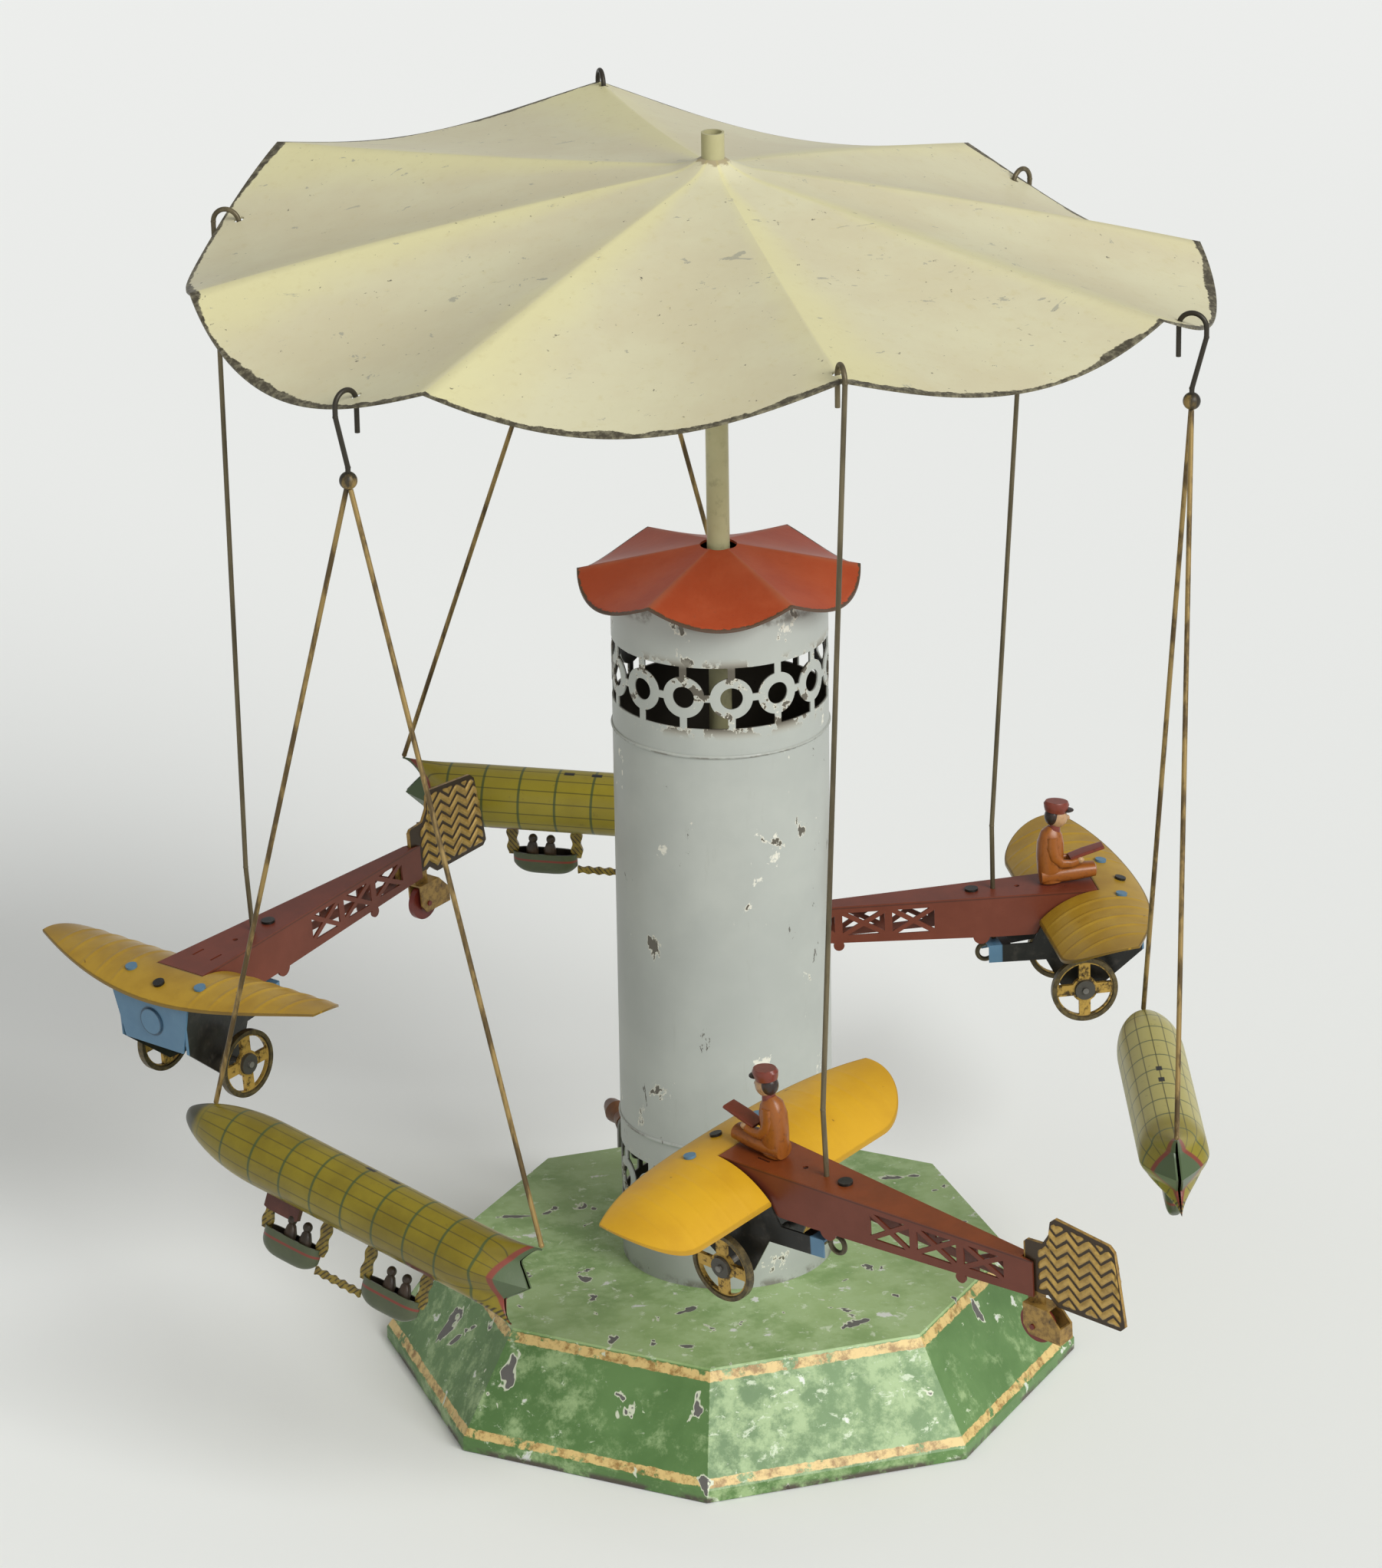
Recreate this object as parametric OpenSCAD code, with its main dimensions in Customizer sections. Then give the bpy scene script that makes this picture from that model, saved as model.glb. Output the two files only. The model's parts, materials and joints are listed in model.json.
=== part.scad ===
// Tinplate flying carousel, in millimetres, +Z up, origin under the middle of the base.
// An eight-sided base holds a hand crank and a crown wheel. A pierced column guides the spindle,
// which turns a fluted canopy with six toys on wire hooks: three monoplanes and three airships.
// The faces of the base look along the axes, and the crank is on the +Y face.

/* [Base] */
// Corner radius of the base at the floor
base_corner_r = 99; // [92:1:110]
// Corner radius of the base's top
base_top_r = 80; // [72:1:88]
// Height of the base
base_h = 31.5; // [29:0.5:36]
// Height of the upright rim at the floor
base_rim_h = 3.5; // [2:0.5:6]
// Thickness of the base, column and roof sheet
tin = 0.7; // [0.5:0.1:1]

/* [Column] */
// Outer radius of the column
column_r = 30; // [27:0.5:33]
// Height of the column above the base
column_h = 203; // [190:0.5:215]
// Rings in each pierced band
band_rings = 14; // [12:1:15]
// Height of a pierced band
band_h = 17.7; // [15:0.1:20]
// Outer radius of a ring in the band
ring_r = 5.9; // [5:0.1:6.2]
// Radius of the hole in a ring
ring_hole_r = 3.1; // [2:0.1:4]
// Width of the web that joins the rings
ring_web = 2; // [1:0.1:3]
// Middle of the upper band below the column's top
upper_band_inset = 25.5; // [20:0.5:32]
// Middle of the lower band above the column's foot
lower_band_inset = 26; // [20:0.5:32]
// Distance from a band's middle to its raised bead
bead_offset = 17; // [12:0.5:20]
// Radius of the raised bead
bead_r = 0.5; // [0.3:0.1:0.8]

/* [Column roof] */
// Radius of the roof at its tips
roof_tip_r = 39; // [36:0.5:43]
// Radius of the hole round the spindle
roof_hole_r = 5.1; // [4:0.1:6]
// Fall of a ridge from the hole to its tip
roof_drop = 6.4; // [4:0.2:10]
// Sag of a lobe's edge below the tips
roof_sag = 5; // [3:0.5:8]
// Number of lobes
roof_lobes = 6; // [5:1:8]
// Turn of the roof's ridges from +X
roof_turn = -18.3; // [-30:0.1:30]

/* [Spindle and bearings] */
// Radius of the spindle
spindle_r = 3.15; // [2.6:0.05:3.6]
// Height of the spindle's top above the floor
spindle_top = 360; // [340:1:380]
// Radius of the flag socket in the spindle's top
socket_r = 2.5; // [1.8:0.1:2.5]
// Depth of the flag socket
socket_depth = 12; // [8:1:20]
// Height of the foot bearing's cup
foot_bearing_h = 5.5; // [4:0.5:6]
// Wall of the bearings round the spindle
bearing_wall = 3.5; // [2:0.5:5]
// Radial clearance of every running fit
running_gap = 0.06; // [0.02:0.01:0.1]

/* [Canopy] */
// Radius of the canopy at its tips
canopy_tip_r = 140; // [130:1:150]
// Radius of the canopy in the middle of a gore
canopy_mid_r = 138.5; // [128:0.5:150]
// Fall of a ridge from the spindle to its tip
canopy_drop = 21.8; // [15:0.2:32]
// Sag of a gore's edge below the tips
canopy_sag = 11; // [5:0.5:16]
// Distance of the rim's middle from the spindle, as the sheet was cut a little off centre
canopy_shift = 3.4; // [0:0.2:6]
// Direction of that shift, from the front ridge
shift_turn = 241; // [0:1:359]
// Number of gores
canopy_gores = 8; // [6:1:10]
// Rise and fall of the bent sheet's rim, a saddle
canopy_warp = 7.5; // [0:0.5:9]
// Direction of the saddle's high side, from the front ridge
warp_turn = 17; // [0:1:180]
// Lean of the canopy on the spindle, in degrees
canopy_tilt = 2.3; // [0:0.1:3]
// Direction of the canopy's high side, from the front ridge
tilt_turn = 247; // [0:1:359]
// Rise of the neck where the sheet meets the spindle
neck_rise = 2.5; // [0:0.5:5]
// Width of the neck
neck_w = 10; // [6:1:16]
// Thickness of the canopy sheet
canopy_sheet = 0.6; // [0.4:0.1:0.9]
// Spindle that stands above the canopy's neck
tube_show = 7; // [3:0.5:12]
// Turn of the front ridge from +X at rest
canopy_turn = -95.4; // [-180:0.1:180]
// Height of the collar under the canopy
collar_h = 6; // [4:0.5:10]

/* [Crank drive] */
// Teeth on the crown wheel
crown_teeth = 48; // [40:4:56]
// Teeth on the pinion
pinion_teeth = 12; // [10:1:14]
// Gear module, pitch diameter over teeth
gear_module = 1; // [0.9:0.05:1]
// Play between the flanks of the teeth
backlash = 0.84; // [0.6:0.02:1]
// Width of the pinion
pinion_w = 3; // [2:0.5:4]
// Height of the crank shaft above the floor
crank_z = 17.5; // [17:0.5:20]
// Radius of the crank shaft
crank_shaft_r = 1.5; // [1.2:0.1:2]
// Distance from the shaft to the knob
crank_throw = 12; // [9:0.5:13]
// Thickness of the crank arm
crank_arm_t = 1.5; // [1:0.1:2]
// Largest radius of the knob
knob_r = 3.5; // [2.5:0.1:4]
// Length of the knob
knob_len = 14; // [10:0.5:20]

/* [Wires and hooks] */
// Radius of the wire
wire_r = 0.7; // [0.5:0.05:0.9]
// Bend radius of a hook
hook_r = 3.8; // [3.2:0.1:5]
// Distance of the hook's pivot inside the canopy's edge
hook_inset = 1.8; // [1.5:0.1:2.2]
// Radius of the hook holes
hook_hole_r = 1.5; // [1.2:0.1:1.8]
// Length of the short end inside the canopy
hook_tail = 8.5; // [5:0.5:12]
// Bend radius of the eye under a plane
eye_r = 2.5; // [2:0.1:3]

/* [Planes] */
// Drop from the canopy's edge to the top of a fuselage
plane_drop = 218; // [200:1:225]
// Sheet thickness of the toys
toy_tin = 0.6; // [0.4:0.1:0.8]
// Fuselage in front of the wire
nose_len = 30; // [26:0.5:34]
// Fuselage behind the wire
tail_len = 66.5; // [60:0.5:72]
// Half width of the fuselage at the nose
nose_half_w = 8.9; // [8:0.1:10]
// Half width of the fuselage at the tail
tail_half_w = 1.6; // [1.4:0.05:2]
// Height of the fuselage's sides at the wire
side_h = 13; // [11:0.5:15]
// Height of the fuselage's sides at the tail
tail_h = 11; // [9:0.5:12]
// Radius of the wing's camber
wing_arc_r = 27; // [25:0.5:40]
// Crest of the wing in front of the wire
wing_crest_x = 31.5; // [31:0.5:34]
// Half span of the wing
half_span = 54; // [48:0.5:60]
// Leading edge in front of the wire
leading_x = 45; // [43:0.5:48]
// Trailing edge in front of the wire
trailing_x = 12; // [10:0.5:15]
// Radius of the wing's leading edge in plan
leading_r = 118; // [100:1:160]
// Radius of the wing tips in plan
wing_tip_r = 17; // [12:0.5:20]
// Axle in front of the wire
axle_x = 23.9; // [22:0.1:26]
// Axle below the fuselage's top
axle_drop = 28.2; // [27:0.1:30]
// Radius of the axles
axle_r = 0.9; // [0.7:0.05:1.1]
// Outer radius of the main wheels
wheel_r = 10; // [8.5:0.1:11]
// Middle of a main wheel from the plane's middle
wheel_half_track = 16.4; // [15.5:0.1:18]
// Radius of the tail wheel
tail_wheel_r = 5.3; // [4:0.1:5.4]
// Thickness of the tail wheel
tail_wheel_w = 1.8; // [1.2:0.1:2.4]

/* [Airships] */
// Drop from the canopy's edge to an airship's middle
airship_drop = 224; // [210:1:232]
// Length of the hull
hull_len = 124; // [110:1:140]
// Radius of the hull
hull_r = 9.5; // [8.5:0.5:12]
// Half height of the pinched stern
stern_half_h = 11.5; // [9:0.5:13]
// Half height of the bow's tip
bow_half_h = 1.6; // [1.2:0.1:4]
// Share of the hull that tapers to the stern
stern_share = 0.15; // [0.1:0.01:0.25]
// Share of the hull that tapers to the bow
bow_share = 0.25; // [0.15:0.01:0.3]
// Drop from the canopy's edge to the solder blob of a bridle
blob_drop = 20.5; // [18:0.5:26]
// Radius of the solder blob
blob_r = 2.4; // [2.3:0.1:3]
// Length of a gondola boat
boat_len = 19.8; // [16:0.2:22]
// Depth of a gondola boat
boat_h = 7; // [5:0.2:8]
// Width of a gondola boat
boat_w = 5; // [3:0.2:6]
// Gunwale of the boats below the hull's axis
boat_drop = 18.3; // [16:0.1:21]
// Middle of each boat from the middle of the gondola
boat_half_gap = 18; // [14:0.2:20]

/* [Hidden] */
// The toys in turn, with the place of each hook from the front ridge
// and each toy's heading from the outward direction of its hook
toy_names = ["front_plane", "right_airship", "right_plane", "back_airship", "left_plane", "front_airship"];
hook_turns = [0, 57, 126.5, 180, 240, 303.6];
toy_headings = [215, 110.6, -40, -114.7, 66.6, -86.3];
// Nose-high pitch of each toy as it hangs, and its roll to the right
toy_pitches = [2, -3, 1, -0.5, -4, 8];
toy_rolls = [-6, -4.4, 0, 8.1, 1, 16];
// How much shorter each wire is than its drop, and how far its toy is bent outwards and sideways
wire_lifts = [-0.5, 1.4, -0.7, 0.8, 5.8, -0.1];
wire_leans = [[-4, -5.3], [-5.4, -2.1], [-6, 8.1], [0.9, 4.2], [-2, -2], [2.8, -2.4]];
planes = [0, 2, 4];
airships = [1, 3, 5];
piloted = [0, 2];
fixed_nodes = ["base_shell", "base_plate", "foot_bearing", "column_tube", "upper_bearing", "column_roof",
    "crank_bracket", "crank_shaft", "crank_pinion", "crank_arm", "crank_knob",
    "spindle", "crown_wheel", "canopy_collar", "canopy"];
plane_nodes = ["wire", "fuselage", "wing", "undercarriage", "tail", "axle", "wheels", "tail_wheel"];
airship_nodes = ["bow_wire", "stern_wire", "port_hull", "starboard_hull", "gondola"];

$fn = 48;
touch = 0.05;
past = 1;
sides = 8;
half_side = 180 / sides;

// Colours of the paints and metals
base_green = [0.33, 0.52, 0.28];
plain_tin = [0.62, 0.61, 0.58];
column_grey = [0.70, 0.74, 0.75];
roof_red = [0.74, 0.25, 0.15];
cream = [0.82, 0.79, 0.62];
wire_brown = [0.40, 0.35, 0.24];
body_red = [0.50, 0.21, 0.14];
wing_yellow = [0.85, 0.62, 0.12];
frame_black = [0.12, 0.12, 0.13];
wheel_brass = [0.58, 0.48, 0.24];
tail_gold = [0.76, 0.60, 0.30];
pilot_orange = [0.78, 0.40, 0.15];
hull_olive = [0.62, 0.53, 0.16];
boat_green = [0.28, 0.36, 0.26];
knob_wood = [0.45, 0.28, 0.15];

// Heights of the column, its roof and the canopy
column_top = base_h + column_h;
sag_power = 1.6;
roof_gap = 0.2;
roof_fall = roof_drop * (column_r - roof_hole_r) / (roof_tip_r - roof_hole_r)
    + roof_sag * pow(column_r / roof_tip_r, sag_power);
roof_hub_z = column_top + roof_gap + tin + roof_fall;
canopy_hub_r = spindle_r + touch;
canopy_hub_z = spindle_top - tube_show - neck_rise;

// Drive: the pinion runs on top of the crown wheel, on the +Y side
crown_pitch_r = gear_module * crown_teeth / 2;
pinion_pitch_r = gear_module * pinion_teeth / 2;
crown_pitch_z = crank_z - pinion_pitch_r;
addendum = 0.8 * gear_module;
dedendum = 1.1 * gear_module;
tooth_w = (PI * gear_module - backlash) / 2;
flank_slope = tan(20);
crown_disc_t = 1.3;
crown_tooth_len = pinion_w + 1;
crown_rim = 0.5;
crown_r = crown_pitch_r + crown_tooth_len / 2 + crown_rim;
bracket_near_y = crown_r + 3.5;
bracket_far_y = bracket_near_y + 40;
bracket_w = 12;
bracket_over = 4.5;
crank_wall_y = cos(half_side)
    * (base_corner_r - (base_corner_r - base_top_r) * (crank_z - base_rim_h) / (base_h - base_rim_h));
crank_arm_y = crank_wall_y + 9;
shaft_start_y = crown_pitch_r - pinion_w / 2 - 2;
knob_pin_r = 1.1;
knob_gap = 0.4;

// Foot and top bearings
foot_floor_z = tin + 1;
spindle_foot_z = foot_floor_z + 0.1;
bearing_r = spindle_r + running_gap;
top_bearing_z = column_top - 7;
top_bearing_h = 5;

// Fractional part of a number
function frac(v) = v - floor(v);
// Share of the sag at an angle from a ridge: 0 on the ridges and 1 halfway between them
function flute(a, n) = sin(180 * frac(a * n / 360));

function roof_z(r, a) = roof_hub_z
    - roof_drop * (r - roof_hole_r) / (roof_tip_r - roof_hole_r)
    - roof_sag * flute(a, roof_lobes) * pow(r / roof_tip_r, sag_power);

function canopy_edge_r(a) = canopy_tip_r - (canopy_tip_r - canopy_mid_r) * flute(a, canopy_gores)
    + canopy_shift * cos(a - shift_turn);
function canopy_neck(r) = neck_rise * pow(max(0, 1 - (r - canopy_hub_r) / neck_w), 2);
function canopy_z(r, a) = canopy_hub_z + canopy_neck(r)
    - canopy_drop * (r - canopy_hub_r) / (canopy_tip_r - canopy_hub_r)
    - canopy_sag * flute(a, canopy_gores) * pow(r / canopy_tip_r, sag_power)
    + canopy_warp * pow(r / canopy_tip_r, 2) * cos(2 * (a - warp_turn))
    + tan(canopy_tilt) * r * cos(a - tilt_turn);

// Pivot of each hook, in the strip of sheet between its hole and the canopy's edge
function hook_pivot_r(k) = canopy_edge_r(hook_turns[k]) - hook_inset;
function hook_pivot_z(k) = canopy_z(hook_pivot_r(k), hook_turns[k]) - canopy_sheet / 2;
function hook_angle(k) = canopy_turn + hook_turns[k];

// Place and upward direction of a hanging plane, seen from its hook
function plane_place(k) = [hook_r + wire_leans[k][0], wire_leans[k][1], wire_lifts[k] - plane_drop];
function plane_up(k) = let (h = toy_headings[k], p = toy_pitches[k], r = toy_rolls[k])
    [sin(r) * sin(h) - sin(p) * cos(r) * cos(h),
        -sin(r) * cos(h) - sin(p) * cos(r) * sin(h),
        cos(p) * cos(r)];

// Two triangles for a four-cornered patch
function patch(a, b, c, d) = [[a, b, c], [a, c, d]];

module at_hook(k) {
    rotate([0, 0, hook_angle(k)])
        translate([hook_pivot_r(k), 0, hook_pivot_z(k)])
            children();
}

module at_plane(k) {
    at_hook(k)
        translate(plane_place(k))
            rotate([toy_rolls[k], -toy_pitches[k], toy_headings[k]])
                children();
}

module at_airship(k) {
    at_hook(k)
        translate([wire_leans[k][0], wire_leans[k][1], wire_lifts[k] - airship_drop])
            rotate([0, 0, toy_headings[k]])
                children();
}

// A round rod between two points
module rod(from, to, r) {
    span = to - from;
    translate(from)
        rotate([0, acos(span[2] / norm(span)), atan2(span[1], span[0])])
            cylinder(h = norm(span), r = r);
}

// A profile drawn in X and Z, with its thickness centred on the XZ plane
module upright(t) {
    rotate([90, 0, 0])
        linear_extrude(height = t, center = true)
            children();
}

module bore(r, z0, z1) {
    translate([0, 0, z0])
        cylinder(h = z1 - z0, r = r);
}

module along_y(r, y0, y1, z) {
    translate([0, y0, z])
        rotate([-90, 0, 0])
            cylinder(h = y1 - y0, r = r);
}

// A thin sheet from rings of points round the axis, with its thickness downwards
module fluted_sheet(rings, thick) {
    nr = len(rings);
    na = len(rings[0]);
    top = [for (ring = rings) each ring];
    n = len(top);
    at = function(i, j) i * na + j % na;
    skin = [for (i = [0 : nr - 2], j = [0 : na - 1])
        each patch(at(i, j), at(i, j + 1), at(i + 1, j + 1), at(i + 1, j))];
    back = [for (f = skin) [n + f[0], n + f[2], n + f[1]]];
    rim = [for (j = [0 : na - 1])
        each patch(at(nr - 1, j), at(nr - 1, j + 1), n + at(nr - 1, j + 1), n + at(nr - 1, j))];
    eye = [for (j = [0 : na - 1])
        each patch(at(0, j), n + at(0, j), n + at(0, j + 1), at(0, j + 1))];
    polyhedron(concat(top, [for (p = top) p - [0, 0, thick]]), concat(skin, back, rim, eye));
}

// Base and column

// A solid of eight-sided rings stacked on each other, each given as a height and a corner radius
module octagon_stack(rings) {
    n = len(rings);
    at = function(i, j) i * sides + j % sides;
    points = [for (ring = rings, j = [0 : sides - 1])
        let (a = half_side + j * 360 / sides)
        [ring[1] * cos(a), ring[1] * sin(a), ring[0]]];
    walls = [for (i = [0 : n - 2], j = [0 : sides - 1])
        [at(i, j), at(i + 1, j), at(i + 1, j + 1), at(i, j + 1)]];
    floor_face = [for (j = [0 : sides - 1]) at(0, j)];
    top_face = [for (j = [0 : sides - 1]) at(n - 1, sides - 1 - j)];
    polyhedron(points, concat(walls, [floor_face, top_face]));
}

module base_shell() {
    wall = tin / cos(half_side);
    inner_r = base_corner_r - wall;
    inner_top_r = base_top_r - wall;
    color(base_green)
        difference() {
            octagon_stack([[0, base_corner_r], [base_rim_h, base_corner_r], [base_h, base_top_r]]);
            octagon_stack([[-past, inner_r], [base_rim_h, inner_r], [base_h - tin, inner_top_r]]);
            bore(roof_hole_r, base_h - tin - past, base_h + past);
            along_y(crank_shaft_r + knob_gap, bracket_far_y, base_corner_r, crank_z);
        }
}

module base_plate() {
    color(plain_tin)
        rotate([0, 0, half_side])
            linear_extrude(height = tin)
                circle(base_corner_r - (tin + touch) / cos(half_side), $fn = sides);
}

module foot_bearing() {
    color(plain_tin)
        difference() {
            bore(spindle_r + bearing_wall, tin, tin + foot_bearing_h);
            bore(bearing_r, foot_floor_z, tin + foot_bearing_h + past);
        }
}

// A cutter through the column's wall, drawn in the plane that faces outwards
module through_wall(turn, z) {
    depth = 4;
    rotate([0, 0, turn])
        translate([column_r - depth, 0, z])
            rotate([90, 0, 90])
                linear_extrude(height = depth + past)
                    children();
}

// The gaps above and below the web between two rings
module ring_gaps() {
    pitch = 2 * column_r * sin(180 / band_rings);
    for (up = [-1, 1])
        difference() {
            translate([0, up * (band_h + ring_web) / 4])
                square([pitch - ring_web, (band_h - ring_web) / 2], center = true);
            for (side = [-1, 1])
                translate([side * pitch / 2, 0])
                    circle(ring_r);
        }
}

module pierced_band(z) {
    step = 360 / band_rings;
    for (q = [0 : band_rings - 1]) {
        through_wall(q * step, z)
            circle(ring_hole_r);
        through_wall((q + 0.5) * step, z)
            ring_gaps();
    }
}

module column_tube() {
    upper = column_top - upper_band_inset;
    lower = base_h + lower_band_inset;
    color(column_grey)
        difference() {
            union() {
                bore(column_r, base_h, column_top);
                for (z = [upper - bead_offset, lower + bead_offset])
                    translate([0, 0, z])
                        rotate_extrude()
                            translate([column_r, 0])
                                circle(bead_r);
            }
            bore(column_r - tin, base_h - past, column_top + past);
            pierced_band(upper);
            pierced_band(lower);
        }
}

module upper_bearing() {
    color(plain_tin)
        difference() {
            union() {
                bore(column_r - tin - touch, top_bearing_z, top_bearing_z + tin);
                bore(spindle_r + bearing_wall, top_bearing_z, top_bearing_z + top_bearing_h);
            }
            bore(bearing_r, top_bearing_z - past, top_bearing_z + top_bearing_h + past);
        }
}

module column_roof() {
    steps = 8 * roof_lobes;
    bands = 4;
    color(roof_red)
        rotate([0, 0, roof_turn])
            fluted_sheet([for (i = [0 : bands]) [for (j = [0 : steps - 1])
                let (a = 360 * j / steps)
                let (r = roof_hole_r + (roof_tip_r - roof_hole_r) * i / bands)
                [r * cos(a), r * sin(a), roof_z(r, a)]]], tin);
}

// Crank drive

module crank_bracket() {
    upright_h = crank_z + bracket_over - tin;
    color(plain_tin)
        difference() {
            union() {
                translate([-bracket_w / 2, bracket_near_y, tin])
                    cube([bracket_w, bracket_far_y - bracket_near_y, tin]);
                for (y = [bracket_near_y, bracket_far_y - tin])
                    translate([-bracket_w / 2, y, tin])
                        cube([bracket_w, tin, upright_h]);
            }
            along_y(crank_shaft_r + running_gap, bracket_near_y - past, bracket_far_y + past, crank_z);
        }
}

module crank_shaft() {
    color(plain_tin)
        along_y(crank_shaft_r, shaft_start_y, crank_arm_y + crank_arm_t, crank_z);
}

// Outline of the pinion, with a gap at its lowest point
function pinion_outline() = [for (q = [0 : pinion_teeth - 1], side = [-1, 1],
    high = (side < 0 ? [0, 1] : [1, 0]))
    let (mid = -90 + (q + 0.5) * 360 / pinion_teeth)
    let (r = pinion_pitch_r + (high == 1 ? addendum : -dedendum))
    let (w = tooth_w / 2 - flank_slope * (r - pinion_pitch_r))
    [r * cos(mid) - side * w * sin(mid), r * sin(mid) + side * w * cos(mid)]];

module crank_pinion() {
    color(plain_tin)
        translate([0, crown_pitch_r, crank_z])
            rotate([90, 0, 0])
                linear_extrude(height = pinion_w, center = true)
                    difference() {
                        polygon(pinion_outline());
                        circle(crank_shaft_r);
                    }
}

module crank_arm() {
    color(plain_tin)
        difference() {
            translate([0, crank_arm_y + crank_arm_t, crank_z])
                rotate([90, 0, 0]) {
                    linear_extrude(height = crank_arm_t) {
                        circle(2 * crank_shaft_r);
                        translate([0, crank_throw])
                            circle(2 * crank_shaft_r);
                        translate([-2 * crank_shaft_r, 0])
                            square([4 * crank_shaft_r, crank_throw]);
                    }
                    translate([0, crank_throw, -knob_len - knob_gap - past])
                        cylinder(h = knob_len + knob_gap + past, r = knob_pin_r);
                    translate([0, crank_throw, -knob_len - 2 * knob_gap - past])
                        cylinder(h = past, r = knob_pin_r + 2 * knob_gap);
                }
            along_y(crank_shaft_r, crank_arm_y - past, crank_arm_y + 2 * past, crank_z);
        }
}

// A turned wooden handle, waisted near the arm
module crank_knob() {
    waist = 0.7 * knob_r;
    color(knob_wood)
        translate([0, crank_arm_y + crank_arm_t + knob_gap, crank_z + crank_throw])
            rotate([-90, 0, 0])
                difference() {
                    union() {
                        cylinder(h = knob_len / 3, r1 = 0.9 * knob_r, r2 = waist);
                        translate([0, 0, knob_len / 3])
                            cylinder(h = knob_len / 3, r1 = waist, r2 = knob_r);
                        translate([0, 0, 2 * knob_len / 3])
                            cylinder(h = knob_len / 3, r1 = knob_r, r2 = waist);
                    }
                    bore(knob_pin_r + running_gap, -past, knob_len + past);
                }
}

module crown_wheel() {
    root_z = crown_pitch_z - dedendum;
    top_z = crown_pitch_z + addendum;
    root_w = tooth_w + 2 * dedendum * flank_slope;
    top_w = tooth_w - 2 * addendum * flank_slope;
    hub_h = 3;
    color(plain_tin)
        difference() {
            union() {
                bore(crown_r, root_z - crown_disc_t, root_z);
                bore(spindle_r + bearing_wall, root_z - crown_disc_t, root_z + hub_h);
                for (q = [0 : crown_teeth - 1])
                    rotate([0, 0, q * 360 / crown_teeth])
                        translate([crown_pitch_r - crown_tooth_len / 2, 0, 0])
                            rotate([90, 0, 90])
                                linear_extrude(height = crown_tooth_len)
                                    polygon([[-root_w / 2, root_z - crown_disc_t / 2],
                                        [root_w / 2, root_z - crown_disc_t / 2], [root_w / 2, root_z],
                                        [top_w / 2, top_z], [-top_w / 2, top_z], [-root_w / 2, root_z]]);
            }
            bore(spindle_r, 0, top_z + hub_h);
        }
}

// Spindle and canopy

module spindle() {
    color(cream)
        difference() {
            bore(spindle_r, spindle_foot_z, spindle_top);
            bore(socket_r, spindle_top - socket_depth, spindle_top + past);
        }
}

module canopy_collar() {
    collar_top = canopy_z(canopy_hub_r, 0) - canopy_sheet - neck_rise;
    color(cream)
        difference() {
            bore(spindle_r + bearing_wall, collar_top - collar_h, collar_top);
            bore(spindle_r, collar_top - collar_h - past, collar_top + past);
        }
}

module canopy() {
    steps = 12 * canopy_gores;
    bands = 7;
    color(cream)
        difference() {
            rotate([0, 0, canopy_turn])
                fluted_sheet([for (i = [0 : bands]) [for (j = [0 : steps - 1])
                    let (a = 360 * j / steps)
                    let (r = canopy_hub_r + (canopy_edge_r(a) - canopy_hub_r) * pow(i / bands, 1.3))
                    [r * cos(a), r * sin(a), canopy_z(r, a)]]], canopy_sheet);
            for (k = [0 : len(hook_turns) - 1])
                at_hook(k)
                    translate([-hook_r, 0, -hook_tail])
                        cylinder(h = 2 * hook_tail, r = hook_hole_r);
        }
}

// Hooks and wires: each hook bends over the canopy's edge round its pivot

// A bend is a little thicker than the straight wire
bend_r = 1.1 * wire_r;

module hook() {
    rotate([90, 0, 0])
        rotate_extrude(angle = 180)
            translate([hook_r, 0])
                circle(wire_r);
    rod([-hook_r, 0, 0], [-hook_r, 0, -hook_tail], wire_r);
}

// Height of the strap under a fuselage that rests on the wire's eye
strap_z = -(side_h + 3);
eye_z = strap_z - toy_tin - eye_r - wire_r - 0.3;

// The wire leans from its hook to a bend above the plane, and is square to the plane from there to its eye
module plane_wire(k) {
    bend_z = 20;
    hook_end = [hook_r, 0, 0];
    bend = plane_place(k) + bend_z * plane_up(k);
    color(wire_brown) {
        at_hook(k) {
            hook();
            translate(hook_end)
                sphere(bend_r);
            rod(hook_end, bend, wire_r);
            translate(bend)
                sphere(bend_r);
        }
        at_plane(k)
            rod([0, 0, bend_z], [0, 0, eye_z], wire_r);
        at_plane(k)
            translate([0, 0, eye_z]) {
                sphere(bend_r);
                translate([-eye_r, 0, 0])
                    rotate([90, 0, 0])
                        rotate_extrude(angle = -300)
                            translate([eye_r, 0])
                                circle(wire_r);
            }
    }
}

// The solder blob, seen from the airship
function blob_point(k) = let (h = toy_headings[k], lean = wire_leans[k])
    [-lean[0] * cos(h) - lean[1] * sin(h), lean[0] * sin(h) - lean[1] * cos(h),
        airship_drop - wire_lifts[k] - blob_drop];

module bow_wire(k) {
    shoulder = 2.5;
    neck = blob_drop - 3.5;
    color(wire_brown) {
        at_hook(k) {
            hook();
            rod([hook_r, 0, 0], [hook_r, 0, -shoulder], wire_r);
            translate([hook_r, 0, -shoulder])
                sphere(bend_r);
            rod([hook_r, 0, -shoulder], [0, 0, -neck], wire_r);
            translate([0, 0, -neck])
                sphere(bend_r);
            rod([0, 0, -neck], [0, 0, -blob_drop], wire_r);
            translate([0, 0, -blob_drop])
                sphere(blob_r);
        }
        at_airship(k)
            rod(blob_point(k), bow_eye(k), wire_r);
    }
}

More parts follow.
